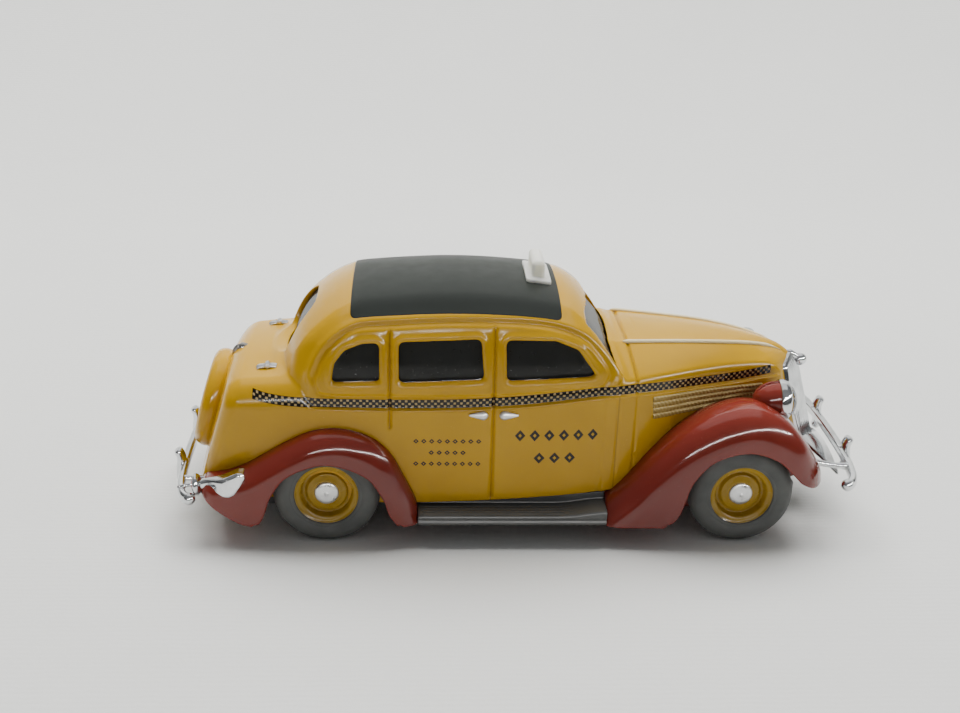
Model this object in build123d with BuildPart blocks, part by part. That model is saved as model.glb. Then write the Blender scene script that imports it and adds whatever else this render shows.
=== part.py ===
from build123d import *
import os
from math import cos, radians, sin

# A 1:43 diecast collector car: a 1930s four-door taxi sedan with a trunk back. Millimetres.
# +X is the front of the car, +Y its left side, +Z up. The origin is on the ground, below the
# centre of the car's bounding box.

# ---------------------------------------------------------------- driving dimensions
wheelbase = 66.2
rear_axle_x = -31.0
front_axle_x = rear_axle_x + wheelbase
tyre_radius = 8.4
axle_z = tyre_radius
half_width = 20.3  # over the fenders
skin = 1.1  # wall of the body casting
bottom_z = 4.0  # lowest edge of the fenders and the base plate

# wheels and axles
tyre_width = 3.9
wheel_y = 16.1  # middle of each tyre
rim_radius = 5.0
hub_face = 0.8  # of the rim's centre, out from the middle of the tyre
axle_radius = 0.75
bore_clearance = 0.05
hubcap_radius = 2.15

# fenders
fender_inner_y = 12.6
fender_skin = 1.0
well_radius = 9.6
well_inner_y = 13.4
arch_radius = 9.3
crown_radius = 4.0
board_outer_y = 19.8
board_rear_x = -16.6
board_front_x = 13.4
board_top_z = 5.9

# inner floor of the fender casting, and the base plate below it
floor_z = 10.3
floor_thickness = 1.0
plate_thickness = 1.2
plate_top_z = bottom_z + plate_thickness
bearing_y = 10.2
bearing_width = 2.0
screw_places = [(-20.0, 0.0), (24.0, 0.0)]
post_radius = 2.1
screw_radius = 0.8
screw_head_radius = 1.7

# greenhouse
glass_gap = 0.05
glass_thickness = 0.5
roof_recess = 0.45

MIRROR_SIDES = (-1, 1)
SIDE_NAMES = {-1: "right", 1: "left"}

os.makedirs("parts", exist_ok=True)


def save(builder, name):
    """Labels a finished piece and writes its STEP file."""
    builder.part.label = name
    export_step(builder.part, f"parts/{name}.step")


# ---------------------------------------------------------------- body forms
# Side outline of the cabin, from the trunk lid over the roof to the foot of the windshield.
CABIN_ROOF = [(-39.6, 25.0), (-38.6, 28.6), (-34.9, 34.6), (-29.0, 38.2), (-20.0, 39.9), (-11.4, 40.4), (-3.0, 40.1),
              (5.5, 39.0), (9.9, 36.8)]
WINDSHIELD_FOOT = (16.6, 26.8)
# Half outline of the cabin seen from the front, from the belt to the middle of the roof.
CABIN_SECTION = [(15.9, 24.0), (15.75, 28.0), (15.1, 32.5), (14.1, 35.5), (11.6, 38.1), (6.0, 40.0), (0.0, 40.7)]
# Half outline of the cabin, seen from above.
CABIN_PLAN = [(-39.9, 0.0), (-38.6, 8.0), (-35.0, 13.0), (-28.0, 15.4), (-12.0, 15.95), (4.0, 15.5), (17.0, 13.6)]
# Half outline of the lower body, seen from above.
BODY_PLAN = [(-51.4, 0), (-50.0, 8.5), (-46.5, 12.6), (-38.0, 15.7), (-24.0, 16.5), (-8.0, 16.6), (6.0, 16.1),
             (16.2, 14.6)]
# Side outline of the lower body: the slanted tail, the trunk lid and the belt.
BODY_TAIL = [(-51.4, 6.0), (-50.4, 11.0), (-48.4, 18.0), (-46.4, 23.6), (-42.6, 26.8), (-37.0, 27.2)]
BODY_BELT = [(-34.5, 25.2), (-21.0, 24.6), (-5.0, 24.9), (8.0, 26.0), (16.2, 27.2)]
# Crown of the hood, seen from the side.
HOOD_CROWN = [(14.5, 31.4), (26.0, 31.0), (36.0, 29.8), (43.0, 27.8), (47.0, 25.2)]


def mirrored(half):
    """A half outline with its mirror image, in one run of points."""
    return half + [(x, -y) for x, y in reversed(half) if y != 0]


def cabin(inset):
    """The cabin above the belt, with its walls moved in by inset."""
    with BuildPart() as form:
        with BuildSketch(Plane.XZ):
            with BuildLine():
                roof = [(x + inset * (-11.0 - x) / 28.0, z - inset) for x, z in CABIN_ROOF]
                foot = (WINDSHIELD_FOOT[0] - 1.2 * inset, WINDSHIELD_FOOT[1])
                roof[-1] = (roof[-1][0] - 0.3 * inset, roof[-1][1] + 0.3 * inset)
                Spline(roof)
                Polyline(roof[-1], foot, (foot[0], 22.0), (roof[0][0], 22.0), roof[0])
            make_face()
        extrude(amount=20, both=True)
        with BuildSketch(Plane(origin=(-45, 0, 0), x_dir=(0, 1, 0), z_dir=(1, 0, 0))):
            with BuildLine():
                side = [(y * (1 - inset / 15.9), z - inset * (z - 24) / 16.7) for y, z in CABIN_SECTION]
                Spline(side + [(-y, z) for y, z in reversed(side[:-1])])
                Polyline((side[0][0], side[0][1]), (side[0][0], 22), (-side[0][0], 22), (-side[0][0], side[0][1]))
            make_face()
        extrude(amount=70, mode=Mode.INTERSECT)
        with BuildSketch(Plane.XY.offset(20)):
            with BuildLine():
                plan = [(x + inset * (-11.0 - x) / 28.0, y * (1 - inset / 15.9)) for x, y in CABIN_PLAN]
                Spline(list(reversed(plan)) + [(x, -y) for x, y in plan[1:]])
                Line(plan[-1], (plan[-1][0], -plan[-1][1]))
            make_face()
        extrude(amount=30, mode=Mode.INTERSECT)
    return form.part


def lower_body(inset):
    """The body below the belt, from the trunk to the cowl, with its walls moved in by inset."""
    with BuildPart() as form:
        with BuildSketch(Plane.XY.offset(3)):
            with BuildLine():
                plan = [(x + inset * (x < -49), y * (1 - inset / 16.5)) for x, y in BODY_PLAN]
                Spline(list(reversed(plan)) + [(x, -y) for x, y in plan[1:]])
                Line(plan[-1], (plan[-1][0], -plan[-1][1]))
            make_face()
        extrude(amount=40)
        with BuildSketch(Plane.XZ):
            with BuildLine():
                tail = [(x + inset * (x < -44), z - inset * (x > -44)) for x, z in BODY_TAIL]
                belt = [(x, z - inset) for x, z in BODY_BELT]
                Spline(tail)
                Polyline(tail[-1], *belt, (16.2, 3), (tail[0][0], 3), tail[0])
            make_face()
        extrude(amount=20, both=True, mode=Mode.INTERSECT)
    return form.part


def hood_form(inset):
    """The engine hood and its sides, from the cowl to the grille."""
    with BuildPart() as form:
        for x, half in ((14.5, 14.9), (51.0, 4.0)):
            with BuildSketch(Plane(origin=(x, 0, 0), x_dir=(0, 1, 0), z_dir=(1, 0, 0))):
                with BuildLine():
                    w, shoulder, top = half - inset, 23.5 - 0.5 * inset, 31.6 - inset
                    ThreePointArc((w, shoulder), (0, top), (-w, shoulder))
                    Polyline((-w, shoulder), (-w, 6.0), (w, 6.0), (w, shoulder))
                make_face()
        loft(ruled=True)
        with BuildSketch(Plane.XZ):
            with BuildLine():
                crown = [(x, z - inset) for x, z in HOOD_CROWN]
                Spline(crown)
                # the nose leans forward from the hood's lip to the foot of the grille
                Polyline(crown[-1], (46.2 - inset, 23.0), (50.6 - inset, 8.0), (14.5, 8.0), crown[0])
            make_face()
        extrude(amount=20, both=True, mode=Mode.INTERSECT)
    return form.part


# ---------------------------------------------------------------- fender outlines
REAR_CROWN = [(board_rear_x, 6.5), (-18.6, 11.0), (-22.6, 17.0), (-30.0, 19.5), (-37.0, 17.2), (-43.5, 13.0),
              (-49.4, 10.6)]
FRONT_CROWN = [(board_front_x, 8.0), (18.6, 13.0), (24.6, 18.8), (30.0, 22.2), (36.0, 23.4), (41.5, 20.4),
               (45.2, 15.0), (46.6, 10.4)]


def rear_fender_profile():
    with BuildLine() as outline:
        Spline(REAR_CROWN)
        Polyline(REAR_CROWN[-1], (-49.0, 7.8), (-45.8, 5.2), (-42.0, bottom_z), (board_rear_x, bottom_z),
                 REAR_CROWN[0])
    return outline


def front_fender_profile():
    with BuildLine() as outline:
        Spline(FRONT_CROWN)
        Polyline(FRONT_CROWN[-1], (44.0, 9.6), (44.0, bottom_z), (board_front_x, bottom_z), FRONT_CROWN[0])
    return outline


def fender_block(profile, side):
    """One fender's outer form, solid, with its crowned outer edge."""
    with BuildPart() as block:
        with BuildSketch(Plane.XZ.offset(-side * fender_inner_y)):
            add(profile.line)
            make_face()
        extrude(amount=-side * (half_width - fender_inner_y))
        outer = block.faces().sort_by(Axis.Y)[-1 if side > 0 else 0]
        # the long crown, and not the short edges of the arch's foot
        crown = outer.edges().filter_by(GeomType.BSPLINE)
        fillet(crown.sort_by(SortBy.LENGTH)[-1], radius=crown_radius)
    return block.part


fender_blocks = {
    (end, side): fender_block(profile(), side)
    for end, profile in (("rear", rear_fender_profile), ("front", front_fender_profile))
    for side in MIRROR_SIDES
}
axle_x = {"rear": rear_axle_x, "front": front_axle_x}
arch_centre = {"rear": (-30.9, 5.5), "front": (34.7, 7.8)}

# ---------------------------------------------------------------- lamp forms
lamp_x, lamp_y, lamp_z = 39.5, 11.4, 22.7
lamp_radius = 3.1
LAMP_BULLET = [(-3.2, 0.0), (-2.4, 1.5), (-0.6, 2.6), (2.6, lamp_radius)]


def lamp_bullet(side):
    """The bullet of one headlight, a turned form about its own fore-and-aft axis."""
    with BuildPart() as form:
        with BuildSketch(Plane(origin=(lamp_x, side * lamp_y, lamp_z), x_dir=(1, 0, 0), z_dir=(0, -1, 0))):
            with BuildLine():
                Spline(LAMP_BULLET)
                Polyline(LAMP_BULLET[-1], (2.6, 0), LAMP_BULLET[0])
            make_face()
        revolve(axis=Axis((lamp_x, side * lamp_y, lamp_z), (1, 0, 0)))
    return form.part


lamp_bullets = {side: lamp_bullet(side) for side in MIRROR_SIDES}

# ---------------------------------------------------------------- fender casting
APRON_TOP = [(board_front_x, 14.0), (22.0, 16.6), (34.0, 17.2), (42.0, 15.0), (45.6, 10.6)]

with BuildPart() as fender_casting:
    for block in fender_blocks.values():
        add(block)
    # inner floor that ties the four fenders together and passes over the axles
    with BuildSketch(Plane.XY.offset(floor_z)):
        with Locations((-2.0, 0)):
            Rectangle(84, 2 * fender_inner_y + 1.2)
    extrude(amount=floor_thickness)
    # apron between the front fenders, on which the sides of the hood stand
    with BuildSketch(Plane.XZ):
        with BuildLine():
            Polyline(*APRON_TOP, (44.4, 10.4), (41.4, 13.8), (33.8, 15.8), (22.2, 15.3), (board_front_x, 12.4),
                     close=True)
        make_face()
    extrude(amount=fender_inner_y + 0.4, both=True)
    # sills under the doors, which carry the running boards
    with BuildSketch(Plane.XY.offset(bottom_z)):
        for side in MIRROR_SIDES:
            with Locations(((board_front_x + board_rear_x) / 2, side * 13.9)):
                Rectangle(board_front_x - board_rear_x + 0.4, 2.6)
    extrude(amount=floor_z + floor_thickness - bottom_z)
    # the wheel wells, open below, and the arches through the outer skin
    for end in ("rear", "front"):
        for side in MIRROR_SIDES:
            with BuildSketch(Plane.XZ.offset(-side * well_inner_y)):
                with Locations((axle_x[end], axle_z)):
                    Circle(well_radius)
                with Locations((axle_x[end], axle_z / 2 - 1)):
                    Rectangle(2 * well_radius, axle_z + 2)
            extrude(amount=-side * (half_width - fender_skin - well_inner_y), mode=Mode.SUBTRACT)
            with BuildSketch(Plane.XZ.offset(-side * (well_inner_y + 1))):
                with Locations(arch_centre[end]):
                    Circle(arch_radius)
                with Locations((arch_centre[end][0], arch_centre[end][1] / 2 - 1)):
                    Rectangle(2 * arch_radius, arch_centre[end][1] + 2)
            extrude(amount=-side * 8, mode=Mode.SUBTRACT)
    # slots for the axles through the inner walls
    for end in ("rear", "front"):
        with BuildSketch(Plane.XZ.offset(-half_width)):
            with Locations((axle_x[end], axle_z)):
                Circle(axle_radius + 0.7)
            with Locations((axle_x[end], axle_z / 2)):
                Rectangle(2 * (axle_radius + 0.7), axle_z)
        extrude(amount=2 * half_width, mode=Mode.SUBTRACT)
    # posts for the two base screws
    with Locations(*[(x, y, plate_top_z) for x, y in screw_places]):
        Cylinder(post_radius, floor_z - plate_top_z + 0.2, align=(Align.CENTER, Align.CENTER, Align.MIN))
    with Locations(*[(x, y, plate_top_z) for x, y in screw_places]):
        Cylinder(screw_radius, 3.6, align=(Align.CENTER, Align.CENTER, Align.MIN), mode=Mode.SUBTRACT)
    for bullet in lamp_bullets.values():
        add(bullet, mode=Mode.SUBTRACT)
save(fender_casting, "fender_casting")

# ---------------------------------------------------------------- openings in the body
REAR_QUARTER = [(-22.6, 27.1), (-22.6, 32.8), (-25.4, 32.6), (-28.4, 30.8), (-29.8, 27.1)]
REAR_DOOR = [(-19.7, 27.1), (-19.7, 33.0), (-7.1, 33.4), (-6.8, 27.5)]
FRONT_DOOR = [(-3.2, 27.6), (-3.3, 33.4), (4.0, 33.3), (7.8, 32.0), (10.2, 28.6), (9.6, 28.2)]
ROOF_INSERT = [(-27.4, -11.8), (5.2, -12.3), (5.2, 12.3), (-27.4, 11.8)]


def side_windows():
    """The three openings of each side, cut right across the cabin."""
    with BuildPart() as cutter:
        for outline in (REAR_QUARTER, REAR_DOOR, FRONT_DOOR):
            with BuildSketch(Plane.XZ) as opening:
                with BuildLine():
                    Polyline(*outline, close=True)
                make_face()
                fillet(opening.vertices(), radius=0.35)
            extrude(amount=20, both=True)
    return cutter.part


def roof_slab(thickness):
    """A slab that follows the top of the cabin, thickness deep, for the roof insert and its recess."""
    with BuildPart() as slab:
        with BuildSketch(Plane.XY.offset(34)) as outline:
            with BuildLine():
                Polyline(*ROOF_INSERT, close=True)
            make_face()
            fillet(outline.vertices(), radius=1.6)
        extrude(amount=10)
        add(cabin_outer, mode=Mode.INTERSECT)
        add(cabin_outer.moved(Location((0, 0, -thickness))), mode=Mode.SUBTRACT)
    return slab.part


def below_body():
    """Everything under the body casting's lower edge, which steps up over the apron."""
    with BuildPart() as form:
        with BuildSketch(Plane.XZ):
            with BuildLine():
                Polyline((-60, 0), (-60, 7.6), (-45, floor_z + floor_thickness), (-42, floor_z + floor_thickness),
                         (-17, floor_z + floor_thickness), (-17, 6.4), (board_front_x, 8.6), *APRON_TOP,
                         (60, 9.0), (60, 0), close=True)
            make_face()
        extrude(amount=25, both=True)
    return form.part


cabin_outer = cabin(0)
lower_outer = lower_body(0)
hood_outer = hood_form(0)

# ---------------------------------------------------------------- roof insert
with BuildPart() as roof_insert:
    add(roof_slab(roof_recess))
save(roof_insert, "roof_insert")

# ---------------------------------------------------------------- body shell
with BuildPart() as body_shell:
    add(lower_outer)
    add(hood_outer)
    add(cabin_outer)
    add(cabin(skin), mode=Mode.SUBTRACT)
    add(lower_body(skin), mode=Mode.SUBTRACT)
    add(hood_form(skin), mode=Mode.SUBTRACT)
    add(roof_insert.part, mode=Mode.SUBTRACT)
    add(side_windows(), mode=Mode.SUBTRACT)
    # windshield
    with BuildSketch(Plane(origin=(8.6, 0, 0), x_dir=(0, 1, 0), z_dir=(1, 0, 0))) as windshield:
        with BuildLine():
            Polyline((-11.6, 28.4), (-10.4, 35.4), (10.4, 35.4), (11.6, 28.4), close=True)
        make_face()
        fillet(windshield.vertices(), radius=1.0)
    extrude(amount=12, mode=Mode.SUBTRACT)
    # rear window
    with BuildSketch(Plane(origin=(-31.0, 0, 0), x_dir=(0, 1, 0), z_dir=(1, 0, 0))):
        with Locations((0, 32.4)):
            RectangleRounded(13.0, 5.0, 1.5)
    extrude(amount=-12, mode=Mode.SUBTRACT)
    add(below_body(), mode=Mode.SUBTRACT)
    for block in fender_blocks.values():
        add(block, mode=Mode.SUBTRACT)
    for bullet in lamp_bullets.values():
        add(bullet, mode=Mode.SUBTRACT)
    add(fender_casting.part, mode=Mode.SUBTRACT)
shell_main = body_shell.part.solids().sort_by(SortBy.VOLUME)[-1]
with BuildPart() as body_shell:
    add(shell_main)
save(body_shell, "body_shell")

# ---------------------------------------------------------------- glazing
with BuildPart() as glazing:
    add(cabin(skin + glass_gap))
    add(cabin(skin + glass_gap + glass_thickness), mode=Mode.SUBTRACT)
    with BuildSketch(Plane.XY.offset(26.6)):
        Rectangle(100, 60)
    extrude(amount=9.6, mode=Mode.INTERSECT)
    add(lower_outer, mode=Mode.SUBTRACT)
    add(hood_outer, mode=Mode.SUBTRACT)
save(glazing, "glazing")

# ---------------------------------------------------------------- interior
tub_half, tub_wall, tub_top = 12.2, 0.8, 19.5
tub_z = floor_z + floor_thickness

with BuildPart() as interior_tub:
    with BuildSketch(Plane.XY.offset(tub_z)):
        with Locations((-11.0, 0)):
            Rectangle(46, 2 * tub_half)
    extrude(amount=tub_top - tub_z)
    with BuildSketch(Plane.XY.offset(tub_z + tub_wall)):
        with Locations((-11.0, 0)):
            Rectangle(46 - 2 * tub_wall, 2 * (tub_half - tub_wall))
    extrude(amount=tub_top - tub_z, mode=Mode.SUBTRACT)
save(interior_tub, "interior_tub")


def bench(x, depth, height):
    """A bench seat with its squab, front edge at x, standing on the floor of the tub."""
    with BuildPart() as seat:
        base = tub_z + tub_wall
        with BuildSketch(Plane.XZ) as side:
            with BuildLine():
                Polyline((x, base), (x, base + 5.2), (x - depth + 2.4, base + 4.8), (x - depth + 0.6, base + height),
                         (x - depth - 1.0, base + height), (x - depth, base), close=True)
            make_face()
            fillet(side.vertices().sort_by(Axis.Z)[-4:], radius=0.5)
        extrude(amount=tub_half - tub_wall - 0.6, both=True)
    return seat


front_seat = bench(-0.5, 8.0, 14.0)
save(front_seat, "front_seat")
rear_seat = bench(-19.0, 9.0, 14.5)
save(rear_seat, "rear_seat")

with BuildPart() as dashboard:
    with BuildSketch(Plane.XZ) as section:
        with BuildLine():
            Polyline((10.0, 19.0), (9.4, 22.0), (9.8, 25.4), (11.2, 25.9), (11.2, 19.0), close=True)
        make_face()
    extrude(amount=11.2, both=True)
    # feet that stand on the floor of the tub
    for side in MIRROR_SIDES:
        with Locations((10.6, side * 10.2, tub_z + tub_wall)):
            Box(1.1, 1.6, 19.4 - tub_z - tub_wall, align=(Align.CENTER, Align.CENTER, Align.MIN))
save(dashboard, "dashboard")

# the wheel's column is pressed into the face of the dashboard
wheel_plane = Plane(origin=(6.6, 6.0, 24.4), x_dir=(0, 1, 0), z_dir=(-1.0, 0, 0.55))
with BuildPart() as steering_wheel:
    with BuildSketch(wheel_plane):
        Circle(3.2)
        Circle(2.75, mode=Mode.SUBTRACT)
    extrude(amount=0.45)
    with BuildSketch(wheel_plane):
        Circle(0.7)
        for turn in (0, 120, 240):
            with Locations(Rotation(0, 0, turn)):
                with Locations((1.5, 0)):
                    Rectangle(3.0, 0.4)
    extrude(amount=0.45)
    with BuildSketch(wheel_plane):
        Circle(0.4)
    extrude(amount=-3.4)
    add(dashboard.part, mode=Mode.SUBTRACT)
save(steering_wheel, "steering_wheel")

# ---------------------------------------------------------------- base plate and screws
with BuildPart() as base_plate:
    with BuildSketch(Plane.XY.offset(bottom_z)):
        with BuildLine():
            Polyline((-47.5, -9.0), (-44.0, -12.4), (42.0, -12.4), (47.0, -7.0), (47.0, 7.0), (42.0, 12.4),
                     (-44.0, 12.4), (-47.5, 9.0), close=True)
        make_face()
    extrude(amount=plate_thickness)
    # bearing blocks for the two axles
    for end_x in (rear_axle_x, front_axle_x):
        with Locations(*[(end_x, side * bearing_y, plate_top_z) for side in MIRROR_SIDES]):
            Box(4.4, bearing_width, floor_z - plate_top_z - 0.1, align=(Align.CENTER, Align.CENTER, Align.MIN))
        with BuildSketch(Plane.XZ.offset(-14)):
            with Locations((end_x, axle_z)):
                Circle(axle_radius + bore_clearance)
        extrude(amount=28, mode=Mode.SUBTRACT)
    # countersunk holes for the screws
    for x, y in screw_places:
        with Locations((x, y, bottom_z)):
            Cylinder(screw_radius, plate_thickness, align=(Align.CENTER, Align.CENTER, Align.MIN),
                     mode=Mode.SUBTRACT)
            Cone(screw_head_radius, screw_radius, 0.7, align=(Align.CENTER, Align.CENTER, Align.MIN),
                 mode=Mode.SUBTRACT)
save(base_plate, "base_plate")

with BuildPart() as base_screws:
    for x, y in screw_places:
        with Locations((x, y, bottom_z)):
            Cylinder(screw_radius, plate_thickness + 3.4, align=(Align.CENTER, Align.CENTER, Align.MIN))
            Cone(screw_head_radius, screw_radius, 0.7, align=(Align.CENTER, Align.CENTER, Align.MIN))
            Box(2.2, 0.4, 0.35, align=(Align.CENTER, Align.CENTER, Align.MIN), mode=Mode.SUBTRACT)
save(base_screws, "base_screws")

# ---------------------------------------------------------------- wheels
TYRE_SECTION = [(rim_radius, 1.55), (6.4, 1.95), (7.7, 1.6), (tyre_radius, 0.9)]


def tyre(x, side):
    """A hollow-free rubber tyre, turned about its axle."""
    with BuildPart() as ring:
        with BuildSketch(Plane(origin=(x, side * wheel_y, axle_z), x_dir=(0, 0, 1), z_dir=(1, 0, 0))):
            with BuildLine():
                Spline(TYRE_SECTION)
                Line(TYRE_SECTION[-1], (tyre_radius, -0.9))
                Spline([(r, -y) for r, y in reversed(TYRE_SECTION)])
                Line((rim_radius, -1.55), (rim_radius, 1.55))
            make_face()
        revolve(axis=Axis((x, 0, axle_z), (0, 1, 0)))
    return ring


def rim(x, side):
    """The wheel inside the tyre: a dished disc with a raised lip, pressed on its axle."""
    with BuildPart() as disc:
        profile = [(axle_radius, -1.2), (axle_radius, 1.0), (2.6, 1.0), (3.6, 0.5), (4.3, 0.5), (4.5, 1.35),
                   (rim_radius, 1.35), (rim_radius, -1.3), (4.4, -1.3), (4.2, -0.5), (2.2, -0.5), (2.0, -1.2)]
        with BuildSketch(Plane(origin=(x, side * wheel_y, axle_z), x_dir=(0, 0, 1), z_dir=(-side, 0, 0))):
            with BuildLine():
                Polyline(*profile, close=True)
            make_face()
        revolve(axis=Axis((x, 0, axle_z), (0, 1, 0)))
    return disc


def hubcap(x, side):
    """A small domed cap on the middle of the wheel."""
    with BuildPart() as cap:
        with BuildSketch(Plane(origin=(x, side * wheel_y, axle_z), x_dir=(0, 0, 1), z_dir=(-side, 0, 0))):
            with BuildLine():
                Line((0, 1.0), (hubcap_radius, 1.0))
                Line((hubcap_radius, 1.0), (hubcap_radius, 1.35))
                Spline([(hubcap_radius, 1.35), (1.7, 1.75), (0.9, 2.0), (0, 2.08)])
                Line((0, 2.08), (0, 1.0))
            make_face()
        revolve(axis=Axis((x, 0, axle_z), (0, 1, 0)))
    return cap


for end, end_x in (("rear", rear_axle_x), ("front", front_axle_x)):
    with BuildPart() as axle:
        with BuildSketch(Plane.XZ.offset(-(wheel_y + 0.9))):
            with Locations((end_x, axle_z)):
                Circle(axle_radius)
        extrude(amount=2 * (wheel_y + 0.9))
    save(axle, f"{end}_axle")
    for side in MIRROR_SIDES:
        place = f"{end}_{SIDE_NAMES[side]}"
        save(tyre(end_x, side), f"tyre_{place}")
        save(rim(end_x, side), f"wheel_{place}")
        save(hubcap(end_x, side), f"hubcap_{place}")

# ---------------------------------------------------------------- running boards
board_length = board_front_x - board_rear_x
board_middle_x = (board_front_x + board_rear_x) / 2
for side in MIRROR_SIDES:
    with BuildPart() as running_board:
        with BuildSketch(Plane.XY.offset(4.3)):
            with Locations((board_middle_x, side * (board_outer_y + 15.2) / 2)):
                Rectangle(board_length, board_outer_y - 15.2)
        extrude(amount=board_top_z - 0.25 - 4.3)
        # lengthwise ribs of the tread
        with Locations(*[(board_middle_x, side * (15.75 + 0.56 * i), board_top_z - 0.25) for i in range(8)]):
            Box(board_length, 0.28, 0.25, align=(Align.CENTER, Align.CENTER, Align.MIN))
        for block in fender_blocks.values():
            add(block, mode=Mode.SUBTRACT)
    save(running_board, f"running_board_{SIDE_NAMES[side]}")


# ---------------------------------------------------------------- bumpers
def bumper(tip, middle, bar_z, guard, plate_end):
    """A chromed bar with wrapped ends, two upright guards and two arms to the base plate."""
    way = 1 if middle > 0 else -1
    wrap = 2.2  # how far the ends reach back
    with BuildPart() as moulding:
        with BuildSketch(Plane.XY.offset(bar_z - 0.8)):
            with BuildLine():
                Spline((tip - wrap * way, -17.6), (tip, -16.6), (middle, 0), (tip, 16.6), (tip - wrap * way, 17.6))
                Line((tip - wrap * way, 17.6), (tip - wrap * way, 16.9))
                Spline((tip - wrap * way, 16.9), (tip - 1.0 * way, 15.9), (middle - 0.9 * way, 0),
                       (tip - 1.0 * way, -15.9), (tip - wrap * way, -16.9))
                Line((tip - wrap * way, -16.9), (tip - wrap * way, -17.6))
            make_face()
        extrude(amount=1.6)
        for side in MIRROR_SIDES:
            with BuildSketch(Plane.XZ.offset(-side * 8.0)) as upright:
                with BuildLine():
                    Polyline(*guard, close=True)
                make_face()
                fillet(upright.vertices().sort_by(Axis.Z)[-2:], radius=0.4)
            extrude(amount=0.75, both=True)
            # the arm runs back from the guard to a foot on the end of the base plate
            foot_z, mid_x = bottom_z + 0.6, guard[0][0]
            with BuildSketch(Plane.XZ.offset(-side * 8.0)):
                with BuildLine():
                    Polyline((plate_end, foot_z - 0.55), (mid_x, foot_z + 0.8), (mid_x, foot_z + 2.2),
                             (plate_end, foot_z + 0.55), close=True)
                make_face()
            extrude(amount=0.5, both=True)
        add(base_plate.part, mode=Mode.SUBTRACT)
    return moulding


FRONT_GUARD = [(54.6, 4.6), (55.8, 4.4), (56.5, 9.0), (55.6, 14.4), (54.4, 14.4), (54.2, 9.0)]
REAR_GUARD = [(-54.6, 3.6), (-55.8, 3.4), (-56.5, 8.2), (-56.2, 12.0), (-55.2, 12.0), (-54.5, 8.2)]
front_bumper = bumper(53.6, 55.4, 11.6, FRONT_GUARD, 45.6)
save(front_bumper, "front_bumper")
rear_bumper = bumper(-53.8, -55.8, 9.2, REAR_GUARD, -46.0)
save(rear_bumper, "rear_bumper")

# ---------------------------------------------------------------- grille
with BuildPart() as grille:
    for z, back, edge, prow, w in ((8.6, 48.0, 50.5, 52.9, 4.0), (25.6, 43.6, 45.4, 48.2, 4.9)):
        with BuildSketch(Plane.XY.offset(z)):
            with BuildLine():
                Polyline((back, -w), (edge, -w), (prow, 0), (edge, w), (back, w), close=True)
            make_face()
    loft(ruled=True)
    add(hood_outer, mode=Mode.SUBTRACT)
    add(fender_casting.part, mode=Mode.SUBTRACT)
grille_main = grille.part.solids().sort_by(SortBy.VOLUME)[-1]
with BuildPart() as grille:
    add(grille_main)
save(grille, "grille")

with BuildPart() as grille_cap:
    with Locations((46.7, 0, 26.3)):
        Sphere(1.0)
    add(grille.part, mode=Mode.SUBTRACT)
    add(hood_outer, mode=Mode.SUBTRACT)
save(grille_cap, "grille_cap")

# ---------------------------------------------------------------- headlights
for side in MIRROR_SIDES:
    name = SIDE_NAMES[side]
    face = Plane(origin=(lamp_x + 2.6, side * lamp_y, lamp_z), x_dir=(0, 1, 0), z_dir=(1, 0, 0))
    with BuildPart() as headlight_shell:
        add(lamp_bullets[side])
        # stalk that carries the lamp on the apron
        with Locations((lamp_x, side * (lamp_y - 0.6), 14.4)):
            Cylinder(0.9, lamp_z - 14.4, align=(Align.CENTER, Align.CENTER, Align.MIN))
        add(fender_casting.part, mode=Mode.SUBTRACT)
    shell_main = headlight_shell.part.solids().sort_by(SortBy.VOLUME)[-1]
    with BuildPart() as headlight_shell:
        add(shell_main)
    save(headlight_shell, f"headlight_shell_{name}")
    with BuildPart() as headlight_rim:
        with BuildSketch(face):
            Circle(lamp_radius + 0.25)
            Circle(lamp_radius - 0.45, mode=Mode.SUBTRACT)
        extrude(amount=0.9)
        add(fender_casting.part, mode=Mode.SUBTRACT)
    save(headlight_rim, f"headlight_rim_{name}")
    with BuildPart() as headlight_lens:
        with BuildSketch(Plane(origin=(lamp_x + 2.6, side * lamp_y, lamp_z), x_dir=(1, 0, 0), z_dir=(0, -1, 0))):
            with BuildLine():
                edge = lamp_radius - 0.45
                Polyline((0.9, edge), (0.0, edge), (0.0, 0.0), (1.5, 0.0))
                Spline((1.5, 0.0), (1.3, 1.4), (0.9, edge))
            make_face()
        revolve(axis=Axis((lamp_x, side * lamp_y, lamp_z), (1, 0, 0)))
    save(headlight_lens, f"headlight_lens_{name}")

# ---------------------------------------------------------------- tail lamps
for side in MIRROR_SIDES:
    name = SIDE_NAMES[side]
    tail = Plane(origin=(-45.5, side * 16.0, 10.6), x_dir=(0, 1, 0), z_dir=(-1, 0, -0.16))
    with BuildPart() as tail_lamp:
        for distance, radius in ((0, 0.7), (5.4, 1.9)):
            with BuildSketch(tail.offset(distance)):
                Circle(radius)
        loft()
        with BuildSketch(tail.offset(5.4)):
            Circle(1.3)
        extrude(amount=-0.5, mode=Mode.SUBTRACT)
        add(fender_casting.part, mode=Mode.SUBTRACT)
    lamp_main = tail_lamp.part.solids().sort_by(SortBy.VOLUME)[-1]
    with BuildPart() as tail_lamp:
        add(lamp_main)
    save(tail_lamp, f"tail_lamp_{name}")
    with BuildPart() as tail_lens:
        with BuildSketch(tail.offset(4.9)):
            Circle(1.3)
        extrude(amount=0.7)
    save(tail_lens, f"tail_lens_{name}")


# ---------------------------------------------------------------- trim on the body
def on_body(x, y, z, size, round_off):
    """A small rounded block set on the outside of the body, cut to sit flush on it."""
    with BuildPart() as trim:
        with Locations((x, y, z)):
            Box(*size)
        fillet(trim.edges(), radius=round_off)
        add(lower_outer, mode=Mode.SUBTRACT)
    return trim


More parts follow.
